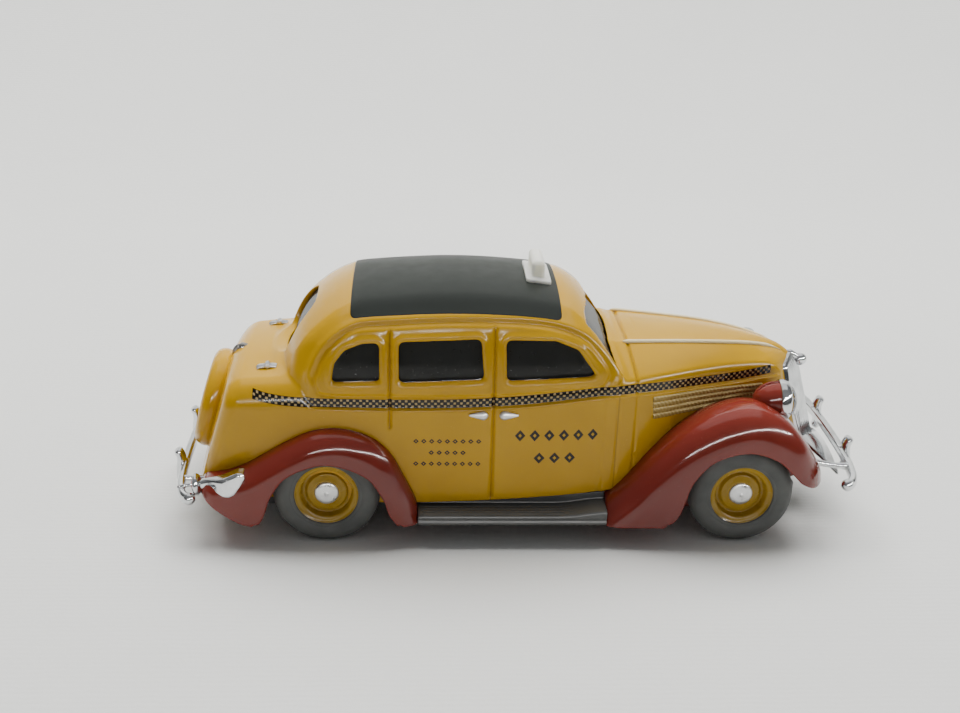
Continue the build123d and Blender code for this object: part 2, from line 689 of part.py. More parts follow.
for side in MIRROR_SIDES:
    name = SIDE_NAMES[side]
    for place, x in (("front", -2.6), ("rear", -7.0)):
        save(on_body(x, side * 16.8, 22.2, (2.8, 1.3, 0.8), 0.3), f"door_handle_{place}_{name}")
    save(on_body(-40.6, side * 9.4, 27.2, (4.6, 0.9, 1.2), 0.3), f"trunk_hinge_{name}")
save(on_body(-45.7, 0, 26.0, (2.0, 3.4, 1.2), 0.35), "trunk_handle")

# spare wheel cover, leaning on the tail
spare = Plane(origin=(-50.6, 0, 17.8), x_dir=(0, 1, 0), z_dir=(-cos(radians(15.7)), 0, -sin(radians(15.7))))
with BuildPart() as spare_cover:
    with BuildSketch(spare.offset(-3.4)):
        Circle(8.4)
    extrude(amount=5.0)
    fillet(spare_cover.edges().sort_by(Axis.X)[0], radius=1.2)
    add(lower_outer, mode=Mode.SUBTRACT)
    with BuildSketch(spare.offset(1.6)):
        Circle(1.0)
    extrude(amount=-0.6, mode=Mode.SUBTRACT)
save(spare_cover, "spare_cover")

with BuildPart() as spare_cap:
    with BuildSketch(spare.offset(1.0)):
        Circle(1.0)
    extrude(amount=1.0)
    fillet(spare_cap.edges().sort_by(Axis.X)[0], radius=0.4)
save(spare_cap, "spare_cap")

# ---------------------------------------------------------------- hood louvres
LOUVRE_PATCH = [(20.6, 19.6), (28.2, 20.3), (36.0, 22.2), (36.4, 24.6), (28.0, 23.9), (20.4, 23.2)]
for side in MIRROR_SIDES:
    with BuildPart() as louvres:
        add(hood_form(-0.3))
        with BuildSketch(Plane.XZ.offset(-side * 2.0)):
            with BuildLine():
                Polyline(*LOUVRE_PATCH, close=True)
            make_face()
        extrude(amount=-side * 16, mode=Mode.INTERSECT)
        add(hood_outer, mode=Mode.SUBTRACT)
        for block in fender_blocks.values():
            add(block, mode=Mode.SUBTRACT)
    save(louvres, f"hood_louvres_{SIDE_NAMES[side]}")

# ---------------------------------------------------------------- roof sign
with BuildPart() as roof_sign:
    with BuildSketch(Plane.XY.offset(38.6)):
        with Locations((2.2, 0)):
            RectangleRounded(4.2, 9.2, 0.6)
    extrude(amount=1.9)
    with BuildSketch(Plane(origin=(1.2, 0, 0), x_dir=(0, 1, 0), z_dir=(1, 0, 0))) as board:
        with BuildLine():
            Polyline((-4.2, 40.0), (-3.6, 43.0), (3.6, 43.0), (4.2, 40.0), close=True)
        make_face()
        fillet(board.vertices().sort_by(Axis.Z)[-2:], radius=0.6)
    extrude(amount=2.0)
    add(cabin_outer, mode=Mode.SUBTRACT)
save(roof_sign, "roof_sign")
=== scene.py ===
import functools
import math

import bmesh
import bpy
import numpy as np
from mathutils import Matrix, Vector


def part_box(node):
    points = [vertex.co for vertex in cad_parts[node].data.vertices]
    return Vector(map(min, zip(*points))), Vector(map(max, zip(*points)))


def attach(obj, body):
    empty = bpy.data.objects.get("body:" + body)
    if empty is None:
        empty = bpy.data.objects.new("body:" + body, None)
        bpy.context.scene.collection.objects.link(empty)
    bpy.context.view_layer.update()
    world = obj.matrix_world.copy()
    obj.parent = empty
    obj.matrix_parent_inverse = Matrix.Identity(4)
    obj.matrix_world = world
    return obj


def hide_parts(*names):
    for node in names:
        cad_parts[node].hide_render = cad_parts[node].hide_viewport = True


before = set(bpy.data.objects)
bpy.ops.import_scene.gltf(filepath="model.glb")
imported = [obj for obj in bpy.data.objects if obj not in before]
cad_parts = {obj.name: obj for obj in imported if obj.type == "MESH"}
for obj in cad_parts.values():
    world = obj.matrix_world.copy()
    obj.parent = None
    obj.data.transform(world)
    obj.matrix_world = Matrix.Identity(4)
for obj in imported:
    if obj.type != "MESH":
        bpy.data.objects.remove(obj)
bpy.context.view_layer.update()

MM = 0.001
TURN = 2 * math.pi


def centre_of(node):
    """The middle of a CAD node, in millimetres."""
    return [round((a + b) / 2 / MM, 2) for a, b in zip(*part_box(node))]


# Shapes are worked out in millimetres in the part's own frame, and turned into metres when a mesh is made.
REAR_X, BOARD_X = centre_of("rear_axle")[0], centre_of("running_board_left")[0]
# the wall of the cast body, and the radius of the room round each wheel
WALL, WHEEL_ROOM = 1, 9.3
SIDES = (("left", 1), ("right", -1))
# the grooves in the sides: where along the car, from which height to which height, and how high the
# painted shade line in them goes
SEAMS = ((-21.1, 19.5, 35, 34.6), (-5, 6.8, 35.6, 35.2), (14.7, 8.6, 25.3, 24.6))
HOOD_SEAM = 16.4
# the chequer belt: where it starts, its length and half height, and the length and height of its squares
BELT_START, BELT_LENGTH, BELT_HALF, CELL_LONG, CELL_HIGH = -42.2, 84.6, 0.66, 0.5, 0.44


# ------------------------------------------------------------------ small maths
def curve(points):
    """A smooth function of one variable through the points (natural cubic spline, flat beyond its ends)."""
    x, y = np.array(points, float).T
    n, h = len(x), np.diff(x)
    a, r = np.eye(n), np.zeros(n)
    for i in range(1, n - 1):
        a[i, i - 1:i + 2] = h[i - 1], 2 * (h[i - 1] + h[i]), h[i]
        r[i] = 6 * ((y[i + 1] - y[i]) / h[i] - (y[i] - y[i - 1]) / h[i - 1])
    m = np.linalg.solve(a, r)
    t = np.linspace(x[0], x[-1], 1600)
    k = np.clip(np.searchsorted(x, t) - 1, 0, n - 2)
    p, q = (x[k + 1] - t) / h[k], (t - x[k]) / h[k]
    v = p * y[k] + q * y[k + 1] + ((p ** 3 - p) * m[k] + (q ** 3 - q) * m[k + 1]) * h[k] ** 2 / 6
    return lambda s: np.interp(s, t, v)


def rmax(a, b, r):
    """The larger of two distances, with the edge between them rounded to radius r."""
    return np.minimum(-r, np.maximum(a, b)) + np.hypot(np.maximum(a + r, 0), np.maximum(b + r, 0))


def rmin(a, b, r):
    return -rmax(-a, -b, r)


def cut(f, *steps):
    """f cut by each of the (distance, radius) steps in turn."""
    for other, r in steps:
        f = rmax(f, other, r)
    return f


def largest(*distances):
    """The space that lies inside all of them."""
    return functools.reduce(np.maximum, distances)


def smallest(*distances):
    """The space that lies inside any of them."""
    return functools.reduce(np.minimum, distances)


def smooth(a, b, t):
    s = np.clip((t - a) / (b - a), 0, 1)
    return s * s * (3 - 2 * s)


def path(points, closed=True, steps=12, corner=()):
    """Catmull-Rom points through the given ones. Points whose index is in corner stay sharp."""
    p = np.array(points, float)
    n = len(p)
    out = []
    for i in range(n if closed else n - 1):
        a, b = p[i], p[(i + 1) % n]
        before = p[(i - 1) % n] if (closed or i > 0) else a
        after = p[(i + 2) % n] if (closed or i + 2 < n) else b
        ta = (b - before) / 2 if i not in corner else (b - a)
        tb = (after - a) / 2 if (i + 1) % n not in corner else (b - a)
        for s in np.arange(steps) / steps:
            h = (2 * s ** 3 - 3 * s ** 2 + 1, s ** 3 - 2 * s ** 2 + s,
                 -2 * s ** 3 + 3 * s ** 2, s ** 3 - s ** 2)
            out.append(h[0] * a + h[1] * ta + h[2] * b + h[3] * tb)
    if not closed:
        out.append(p[-1])
    return np.array(out)


def arc(a, b, c, steps):
    """Points on a curve from a to c that bends at b."""
    return [(1 - s) ** 2 * a + 2 * s * (1 - s) * b + s ** 2 * c for s in np.linspace(0, 1, steps + 1)]


def mirrored(*half):
    """The points of one half and then those of the other, back to the start."""
    return [*half, *((-a, b) for a, b in reversed(half))]


def rounded(points, radius, steps=6):
    """A closed polygon with each corner turned into an arc of about that radius."""
    p = np.array(points, float)
    n, out = len(p), []
    radii = radius if hasattr(radius, "__len__") else [radius] * n
    for i in range(n):
        a, b, c = p[i - 1], p[i], p[(i + 1) % n]
        u, v = (a - b) / np.linalg.norm(a - b), (c - b) / np.linalg.norm(c - b)
        half = math.acos(max(-1, min(1, float(u @ v)))) / 2
        d = min(radii[i] / math.tan(half), 0.49 * np.linalg.norm(a - b), 0.49 * np.linalg.norm(c - b))
        out += arc(b + u * d, b, b + v * d, steps)
    return np.array(out)


class Field:
    """Signed distance to a closed outline in a plane, negative inside, kept on a fine grid."""

    def __init__(self, outline, low, high, step=0.2):
        a, b = np.array(outline), np.roll(np.array(outline), -1, axis=0)
        self.low, self.step = np.array(low, float), step
        self.n = [int((high[i] - low[i]) / step) + 2 for i in (0, 1)]
        gx = low[0] + step * np.arange(self.n[0])
        gy = low[1] + step * np.arange(self.n[1])
        q = np.stack(np.meshgrid(gx, gy, indexing="ij"), -1).reshape(-1, 2)
        best = np.full(len(q), 1e9)
        inside = np.zeros(len(q), bool)
        for s, e in zip(a, b):
            d = e - s
            t = np.clip(((q - s) @ d) / max(d @ d, 1e-12), 0, 1)
            best = np.minimum(best, ((q - s - t[:, None] * d) ** 2).sum(1))
            if s[1] != e[1]:
                crosses = (s[1] > q[:, 1]) != (e[1] > q[:, 1])
                inside ^= crosses & (q[:, 0] < d[0] * (q[:, 1] - s[1]) / d[1] + s[0])
        self.v = (np.sqrt(best) * np.where(inside, -1, 1)).reshape(self.n)

    def __call__(self, x, y):
        u = np.clip((x - self.low[0]) / self.step, 0, self.n[0] - 1.001)
        w = np.clip((y - self.low[1]) / self.step, 0, self.n[1] - 1.001)
        i, j = u.astype(int), w.astype(int)
        fu, fw, v = u - i, w - j, self.v
        return (v[i, j] * (1 - fu) * (1 - fw) + v[i + 1, j] * fu * (1 - fw)
                + v[i, j + 1] * (1 - fu) * fw + v[i + 1, j + 1] * fu * fw)


# ------------------------------------------------------------------ meshes
def in_scene(name, data):
    """A new object for a mesh, a light or a camera."""
    o = bpy.data.objects.new(name, data)
    bpy.context.scene.collection.objects.link(o)
    return o


def new_object(name, verts, faces):
    """A smooth mesh object from places in millimetres."""
    mesh = bpy.data.meshes.new(name)
    v = np.asarray(verts, float) * MM
    if isinstance(faces, np.ndarray) and faces.ndim == 2:
        mesh.vertices.add(len(v))
        mesh.vertices.foreach_set("co", v.astype(np.float32).ravel())
        k = faces.shape[1]
        mesh.loops.add(faces.size)
        mesh.loops.foreach_set("vertex_index", faces.astype(np.int32).ravel())
        mesh.polygons.add(len(faces))
        mesh.polygons.foreach_set("loop_start", (np.arange(len(faces)) * k).astype(np.int32))
        mesh.update(calc_edges=True)
    else:
        mesh.from_pydata([tuple(p) for p in v], [], [tuple(int(i) for i in f) for f in faces])
    mesh.validate()
    mesh.shade_smooth()
    return in_scene(name, mesh)


def surface_nets(f, low, high, h, mirror):
    """Quads on the zero surface of f over a box. With mirror, f is even in y, and y < 0 is left out."""
    low, high = np.array(low, float), np.array(high, float)
    if mirror:
        low[1] = -h / 2
    n = np.ceil((high - low) / h).astype(int) + 1
    x = (low[0] + h * np.arange(n[0]))[:, None, None]
    y = (low[1] + h * np.arange(n[1]))[None, :, None]
    z = (low[2] + h * np.arange(n[2]))[None, None, :]
    g = np.broadcast_to(f(x, np.abs(y) if mirror else y, z), tuple(n)).astype(np.float32)
    inside = g < 0
    total = np.zeros(tuple(n - 1) + (3,), np.float32)
    count = np.zeros(tuple(n - 1), np.float32)
    corners = [(a, b, c) for a in (0, 1) for b in (0, 1) for c in (0, 1)]

    def part(c):
        return g[tuple(slice(c[i], n[i] - 1 + c[i]) for i in range(3))]

    for a in corners:
        for axis in range(3):
            if a[axis] == 0:
                b = list(a)
                b[axis] = 1
                ga, gb = part(a), part(b)
                cross = (ga < 0) != (gb < 0)
                t = np.where(cross, ga / np.where(cross, ga - gb, 1), 0)
                count += cross
                for k in range(3):
                    total[..., k] += np.where(cross, a[k] + (t if k == axis else 0), 0)
    used = count > 0
    index = np.full(tuple(n - 1), -1, np.int64)
    index[used] = np.arange(used.sum())
    cell = np.argwhere(used)
    verts = low + h * (cell + total[used] / count[used][:, None])
    faces = []
    for axis in range(3):
        u, w = (axis + 1) % 3, (axis + 2) % 3
        first = [slice(0, n[i]) for i in range(3)]
        second = list(first)
        first[axis], second[axis] = slice(0, n[axis] - 1), slice(1, n[axis])
        change = inside[tuple(first)] != inside[tuple(second)]
        for k in (u, w):
            for end in (0, n[k] - 1):
                edge = [slice(None)] * 3
                edge[k] = end
                change[tuple(edge)] = False
        at = np.argwhere(change)
        quad = []
        for du, dw in ((-1, -1), (0, -1), (0, 0), (-1, 0)):
            c = at.copy()
            c[:, u] += du
            c[:, w] += dw
            quad.append(index[tuple(c.T)])
        quad = np.stack(quad, 1)
        inward = ~inside[tuple(at.T)]
        quad[inward] = quad[inward][:, ::-1]
        faces.append(quad)
    faces = np.concatenate(faces)
    faces = faces[(faces >= 0).all(1)]
    if mirror:
        verts[np.argwhere(cell[:, 1] == 0)[:, 0], 1] = 0
    return verts, faces


def gradient(f, p, e=0.02):
    """The slope of f at the points p."""
    g = np.empty_like(p)
    for k in range(3):
        a, b = p.copy(), p.copy()
        a[:, k] += e
        b[:, k] -= e
        g[:, k] = f(*a.T) - f(*b.T)
    return g / (2 * e)


def solid(name, shape, low, high, h, target, mirror=True):
    """A mesh of the zero surface of shape: exact vertices, thinned where it is flat, with true normals."""
    def f(x, y, z):
        return shape(x, np.abs(y), z) if mirror else shape(x, y, z)

    verts, faces = surface_nets(f, low, high, h, mirror)
    for _ in range(3):
        g = gradient(f, verts)
        length = np.maximum((g ** 2).sum(1), 0.05)
        step = g * (f(*verts.T) / length)[:, None]
        if mirror:
            step[verts[:, 1] == 0, 1] = 0
        verts = verts - np.clip(step, -0.4 * h, 0.4 * h)
    if mirror:
        n = len(verts)
        keep = verts[:, 1] > 0
        other = np.where(keep, n + np.cumsum(keep) - 1, np.arange(n))
        verts = np.concatenate([verts, verts[keep] * [1, -1, 1]])
        faces = np.concatenate([faces, other[faces][:, ::-1]])
    o = new_object(name, verts, faces)
    tris = 2 * len(faces)
    if tris > target:
        m = o.modifiers.new("thin", "DECIMATE")
        m.ratio = target / tris
        mesh = bpy.data.meshes.new_from_object(o.evaluated_get(bpy.context.evaluated_depsgraph_get()))
        o.modifiers.clear()
        o.data = mesh
    g = gradient(f, points_of(o), 0.03)
    g = g / np.maximum(np.linalg.norm(g, axis=1), 1e-9)[:, None]
    o.data.shade_smooth()
    o.data.normals_split_custom_set_from_vertices([tuple(v) for v in g])
    return o


def points_of(o):
    """The places of a mesh's vertices, in millimetres."""
    p = np.zeros(len(o.data.vertices) * 3, np.float32)
    o.data.vertices.foreach_get("co", p)
    return p.reshape(-1, 3).astype(float) / MM


def attribute(o, name, values):
    """Writes a number for each vertex, for the material to read."""
    a = o.data.attributes.new(name, "FLOAT", "POINT")
    a.data.foreach_set("value", np.asarray(values, np.float32))


def lathe(name, profile, centre, axis, segments, angle):
    """A turned piece. profile is (radius, distance along axis); axis is the outward direction."""
    axis = Vector(axis).normalized()
    u = axis.orthogonal().normalized()
    w = axis.cross(u)
    verts, faces, rings = [], [], []
    for r, d in profile:
        turns = [TURN * i / segments for i in range(segments if r > 1e-6 else 1)]
        rings.append([len(verts) + i for i in range(len(turns))])
        verts += [Vector(centre) + axis * d + (u * math.cos(t) + w * math.sin(t)) * r for t in turns]
    for a, b in zip(rings, rings[1:]):
        for i in range(segments):
            j = (i + 1) % segments
            face = list(dict.fromkeys([a[i % len(a)], a[j % len(a)], b[j % len(b)], b[i % len(b)]]))
            if len(face) > 2:
                faces.append(face)
    return weld(new_object(name, verts, faces), angle)


def weld(o, angle):
    """Merges double vertices, turns the faces outward and keeps edges sharper than angle crisp."""
    bm = bmesh.new()
    bm.from_mesh(o.data)
    bmesh.ops.remove_doubles(bm, verts=bm.verts, dist=1e-7)
    bmesh.ops.recalc_face_normals(bm, faces=bm.faces)
    bm.to_mesh(o.data)
    bm.free()
    o.data.shade_smooth()
    o.data.set_sharp_from_angle(angle=math.radians(angle))
    return o


def arc_profile(points, radius, steps=4):
    """An open profile with all its corners but the ends rounded."""
    p = np.array(points, float)
    out = [tuple(p[0])]
    for i in range(1, len(p) - 1):
        a, b, c = p[i - 1], p[i], p[i + 1]
        la, lc = np.linalg.norm(a - b), np.linalg.norm(c - b)
        u, v = (a - b) / la, (c - b) / lc
        if abs(float(u @ v) + 1) < 1e-3:
            out.append(tuple(b))
            continue
        d = min(radius, 0.45 * la, 0.45 * lc)
        out += [tuple(q) for q in arc(b + u * d, b, b + v * d, steps)]
    return out + [tuple(p[-1])]


def tube(name, points, section, up=(0, 0, 1), scale=None, angle=35):
    """A section (list of side, up offsets) carried along a line of points, with scale at each point."""
    pts = [Vector(p) for p in points]
    verts, faces, k = [], [], len(section)
    for i, p in enumerate(pts):
        t = (pts[min(i + 1, len(pts) - 1)] - pts[max(i - 1, 0)]).normalized()
        side = t.cross(Vector(up)).normalized()
        top = side.cross(t)
        s = 1 if scale is None else scale[i]
        for a, b in section:
            verts.append(p + side * (a * s) + top * (b * s))
    for i in range(len(pts) - 1):
        for j in range(k):
            faces.append([i * k + j, i * k + (j + 1) % k, (i + 1) * k + (j + 1) % k, (i + 1) * k + j])
    faces += [list(range(k))[::-1], [(len(pts) - 1) * k + j for j in range(k)]]
    return weld(new_object(name, verts, faces), angle)


def ellipse(a, b, n):
    """The section of a rod with half axes a and b."""
    return [(a * math.cos(TURN * i / n), b * math.sin(TURN * i / n)) for i in range(n)]


def join(name, objects):
    """Several meshes as one piece."""
    bm = bmesh.new()
    for o in objects:
        bm.from_mesh(o.data)
        bpy.data.meshes.remove(o.data)
    mesh = bpy.data.meshes.new(name)
    bm.to_mesh(mesh)
    bm.free()
    return in_scene(name, mesh)


# ------------------------------------------------------------------ materials
class Nodes:
    """Short names for building one material."""

    def __init__(self, name):
        self.m = bpy.data.materials.new(name)
        self.m.use_nodes = True
        self.t = self.m.node_tree
        self.t.nodes.clear()
        self.out = self.t.nodes.new("ShaderNodeOutputMaterial")
        self.b = self.t.nodes.new("ShaderNodeBsdfPrincipled")
        self.t.links.new(self.b.outputs[0], self.out.inputs[0])

    def add(self, kind, **settings):
        n = self.t.nodes.new(kind)
        for k, v in settings.items():
            setattr(n, k, v)
        return n

    def link(self, a, b):
        self.t.links.new(a, b)

    def set(self, **values):
        for k, v in values.items():
            self.b.inputs[k.replace("_", " ")].default_value = v

    def value(self, socket, v):
        """Sets a socket to a number, or links it to a socket or a Wire."""
        v = getattr(v, "socket", v)
        if hasattr(v, "is_output"):
            self.link(v, socket)
        else:
            socket.default_value = v

    def math(self, op, a, b):
        n = self.add("ShaderNodeMath", operation=op)
        self.value(n.inputs[0], a)
        self.value(n.inputs[1], b)
        return n.outputs[0]

    def place(self):
        return self.add("ShaderNodeTexCoord").outputs["Object"]

    def texture(self, kind, values, **settings):
        n = self.add("ShaderNodeTex" + kind, **settings)
        self.link(self.place(), n.inputs["Vector"])
        for k, v in values.items():
            n.inputs[k].default_value = v
        return n.outputs["Fac"]

    def noise(self, scale, detail, rough=0.5):
        return self.texture("Noise", {"Scale": scale, "Detail": detail, "Roughness": rough})

    def bands(self, direction, scale, distortion=0):
        values = {"Scale": scale, "Distortion": distortion}
        return self.texture("Wave", values, wave_type="BANDS", bands_direction=direction)

    def mix(self, fac, a, b):
        n = self.add("ShaderNodeMix", data_type="RGBA")
        self.value(n.inputs[0], fac)
        for i, v in ((6, a), (7, b)):
            self.value(n.inputs[i], v if hasattr(v, "is_output") else tuple(v) + (1,))
        return n.outputs[2]

    def range(self, v, a, b, c, d):
        n = self.add("ShaderNodeMapRange")
        self.value(n.inputs[0], v)
        for i, q in enumerate((a, b, c, d)):
            n.inputs[i + 1].default_value = q
        return n.outputs[0]

    def base(self, fac, a, b):
        self.link(self.mix(fac, a, b), self.b.inputs["Base Color"])

    def patches(self, scale, detail, low=0.35, high=0.7, a=0, b=1):
        """Soft patches between the values a and b."""
        return self.range(self.noise(scale, detail), low, high, a, b)

    def rough(self, *patches):
        self.link(self.patches(*patches), self.b.inputs["Roughness"])

    def bump(self, height, strength, distance):
        n = self.add("ShaderNodeBump")
        n.inputs["Strength"].default_value = strength
        n.inputs["Distance"].default_value = distance
        self.link(height, n.inputs["Height"])
        self.link(n.outputs[0], self.b.inputs["Normal"])

    def attr(self, name):
        return self.add("ShaderNodeAttribute", attribute_name=name).outputs["Fac"]


def paint(name, base, dark, rough, spec=0.24, coat=0.08):
    """Sprayed enamel: slightly uneven film, fine orange peel and dust."""
    n = Nodes(name)
    n.set(Specular_IOR_Level=spec, Coat_Weight=coat, Coat_Roughness=0.03)
    film = n.mix(n.patches(60, 4), base, dark)
    n.base(n.patches(2600, 2, 0.7, 0.78, 0, 0.35), film, [min(1, v * 1.25 + 0.04) for v in base])
    n.rough(220, 5, 0.3, 0.7, rough * 0.8, rough * 1.35)
    n.bump(n.noise(750, 3), 0.05, 0.00008)
    return n


def chrome(name, tint, rough):
    """Plating: a metal with small clouds in its tint and in its polish."""
    n = Nodes(name)
    n.set(Metallic=1)
    n.base(n.patches(500, 4, 0.4), tint, [v * 0.8 for v in tint])
    n.rough(900, 5, 0.3, 0.75, rough * 0.7, rough * 1.9)
    n.bump(n.noise(1100, 2), 0.1, 0.00012)
    return n


def plastic(name, base, rough, bump, spec=0.5, vary=0.82):
    """Moulded plastic: clouded colour and gloss, fine grain."""
    n = Nodes(name)
    n.set(Specular_IOR_Level=spec)
    n.base(n.patches(140, 4), base, [v * vary for v in base])
    n.rough(420, 5, 0.3, 0.7, rough * (vary + 0.03), min(1, rough * (2 - vary)))
    n.bump(n.noise(1500, 3), bump, 0.00006)
    return n


def assign(o, nodes, slot, *replaced, body="chassis"):
    """Gives a piece its material and body, and hides the nodes it stands for; slot is not used."""
    o.data.materials.clear()
    o.data.materials.append(nodes.m)
    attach(o, body)
    if replaced:
        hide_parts(*replaced)


def one_side(name, form, sign, box, h, target):
    """A solid on one side of the car. form and box are those of the left side, where y > 0."""
    (x0, y0, z0), (x1, y1, z1) = box
    y0, y1 = (y0, y1) if sign > 0 else (-y1, -y0)
    return solid(name, lambda x, y, z: form(x, y * sign, z), (x0, y0, z0), (x1, y1, z1), h, target,
                 mirror=False)


# ------------------------------------------------------------------ body surfaces
body_half = curve([(-52, 14.6), (-46, 15.3), (-41, 15.8), (-35, 16.2), (-27, 16.5), (-16, 16.7), (-4, 16.7),
    (4, 16.5), (10, 16.1), (15, 15.3), (19, 14.2), (23, 12.9), (28, 11.1), (33, 9.4), (38, 7.8), (43, 6.3),
    (48, 5.2), (54, 4.4)])
tuck = curve([(2, 2.2), (6, 1.1), (9, 0.55), (14, 0.1), (20, -0.02), (24, 0), (45, 0)])
lean = curve([(0, 0), (22, 0), (25, 0.05), (27, 0.28), (31, 1), (34, 1.75), (36, 2.45), (38, 3.4), (44, 7.5)])
# the edge of the ledge that the cabin and the hood stand on, rising at the trunk
ledge = curve([(-50, 28.4), (-43, 27.6), (-40.2, 26.9), (-38.4, 25.6), (-36.6, 23.9), (-34.6, 23.1),
    (-31, 22.85), (-21, 22.8), (-12, 22.95), (-4.9, 23.2), (4, 23.95), (11.3, 24.65), (15, 24.72),
    (20, 24.65), (28, 24.5), (36, 24.55), (42, 24.8), (52, 25.2)])
belt = curve([(-46, 25.9), (-41.6, 24.45), (-38.6, 23.95), (-34.8, 23.7), (-28, 23.62), (-21.4, 23.62),
    (-12, 23.75), (-4.9, 24.05), (4, 24.8), (11.3, 25.5), (16, 25.6), (22, 25.5), (29, 25.4), (36, 25.5),
    (39.5, 25.75), (43, 26.1)])
roof_line = curve([(-42, 27.5), (-39, 31.5), (-36, 35.2), (-33, 37.3), (-29.5, 38.7), (-25.5, 39.45),
    (-20, 39.95), (-11.4, 40.4), (-3, 40.1), (3, 39.5), (7, 38.7), (11, 37.4), (16, 35.2), (22, 32)])
back_line = curve([(20, -39.4), (26, -39.1), (28, -38.5), (30, -37.8), (32, -36.95), (34, -35.8), (36, -34.1),
    (38, -31.8), (41, -26.8)])
tail_line = curve([(3, -53), (8, -52.1), (11.5, -51.2), (17.6, -49.5), (22, -48.2), (25, -47.2), (27, -46.2),
    (30, -44.2)])
prow = curve([(5, 54), (8.3, 53), (11.6, 51.5), (17.3, 49.75), (21, 48.6), (24.7, 47.3), (26.5, 46.1),
    (28.5, 44)])
crease = curve([(12, 7.5), (16.4, 7.2), (25, 6), (33, 4.6), (38, 3.1), (43, 1.5), (48, 0.9)])
trunk_top = curve([(-54, 26.2), (-46, 26.65), (-42, 27), (-38, 27.3), (-30, 27.3)])
hood_line = curve([(10, 31.25), (15, 31.25), (20, 31.1), (26, 30.8), (31, 30.45), (36, 29.85), (40, 29),
    (43.5, 27.75), (46, 26.3), (48.5, 24.2), (51, 21.5)])
hood_edge = curve([(10, 26.3), (15, 26.5), (22, 26.95), (29, 27.1), (36, 27.05), (40, 26.8), (44, 26),
    (47, 24.9), (52, 22.5)])
bottom_line = curve([(-60, 8), (-50, 7), (-40, 6.5), (-28, 6.2), (-17.4, 6.2), (-4.3, 6.75), (6, 7.4),
    (13.3, 8), (20, 8.8), (60, 9.6)])

# outlines seen from the side and from the front
SIDE, FRONT = ((-60, -2), (60, 46)), ((-22, 18), (22, 44))
PANES = [Field(rounded(*outline), *SIDE) for outline in (
    ([(-22.7, 27.15), (-22.75, 33.15), (-25.4, 32.95), (-28, 31.9), (-29.6, 29.9), (-30, 26.9)],
     [0.7, 0.9, 2, 2, 2, 0.7]),
    ([(-19.7, 26.95), (-19.75, 33.3), (-7.15, 33.85), (-6.6, 27.55)], 0.95),
    ([(-3.1, 27.35), (-3.3, 33.75), (4.4, 33.6), (7.9, 32.2), (10.7, 28.3), (9.9, 27.9)],
     [1, 1, 2.2, 2, 0.8, 0.9]))]
frame_outer = Field(path([(-32.1, 26), (-32.2, 28), (-30.2, 32), (-26.4, 34.8), (-21.1, 35.35),
    (-13.6, 35.85), (-5.2, 35.9), (2, 35.45), (6.6, 34.4), (9.7, 32.6), (12.6, 28.8), (12.2, 26.9),
    (10.4, 26.3), (3, 25.7), (-4.9, 25.3), (-12, 25.1), (-21.1, 25.1), (-30.6, 25.1)]), *SIDE)
gutter = Field(path([(-33.3, 26.2), (-33.4, 28.6), (-31, 33), (-26.6, 35.9), (-20.6, 36.6), (-13.6, 37),
    (-5, 37.05), (2.6, 36.6), (7.4, 35.4), (10.8, 33.4), (14.2, 28.8), (14, 26.4), (11.4, 24), (2, 22),
    (-10, 21), (-22, 21), (-32, 23.2)]), *SIDE)
screen = Field(rounded(mirrored((-13.7, 26.5), (-13.6, 29.2), (-12.4, 32.6), (-11.4, 36.3)),
    [0.5, 2, 3, 2.2, 2.2, 3, 2, 0.5]), *FRONT)
back_light = Field(path([(-6.9, 30.2), (-6.5, 32.8), (-5.2, 34.8), (-2.8, 35.7), (0, 35.9), (2.8, 35.7),
    (5.2, 34.8), (6.5, 32.8), (6.9, 30.2), (5.8, 28.2), (3, 27.6), (0, 27.5), (-3, 27.6), (-5.8, 28.2)]),
    *FRONT)


def bead(d, width):
    """A rounded hump of height 1 where d is near 0."""
    return np.exp(-(d / width) ** 2)


def wave(v, length):
    """Goes from 1 to 0 and back over each length, and is 1 at 0."""
    return 0.5 + 0.5 * np.cos(TURN * v / length)


def seams(x, z):
    """Depth of the door and trunk lines pressed in the sides."""
    depth = 0
    for at, foot, head, _ in SEAMS:
        line = bead(x - at, 0.28) * smooth(foot - 0.2, foot + 0.5, z)
        depth = depth + line * (1 - smooth(head - 0.3, head + 0.3, z))
    return 0.42 * depth * smooth(bottom_line(x) - 0.4, bottom_line(x) + 0.2, z)


def cabin_side(x, z):
    """Half width of the cabin and of the channel for the belt, with the pressings of the window frames."""
    d = frame_outer(x, z)
    relief = 0.34 * smooth(0.28, -0.28, d) - 0.1 * bead(d - 0.35, 0.3)
    relief = relief + 0.52 * bead(gutter(x, z), 0.55) * smooth(24.6, 27.5, z)
    for pane in PANES:
        relief = relief + 0.26 * bead(pane(x, z) - 0.62, 0.42)
    return body_half(x) - 0.5 - lean(z) + relief * smooth(23, 25.4, z) - seams(x, z)


def cabin_form(x, y, z):
    """The cabin over the belt. The factors bring each slope to about that of a distance."""
    side = (y - cabin_side(x, z)) * 0.97
    top = (z - roof_line(x) + 1.75 * (np.minimum(y, 16) / 12) ** 2.3) * 0.93
    back = (back_line(z) + 0.013 * y ** 2 - x) * 0.8
    windshield = (x - (16.55 - (z - 29.4) / 1.16) + 0.0125 * y ** 2) * 0.76
    return cut(side, (top, 2.6), (back, 3.4), (windshield, 1.5))


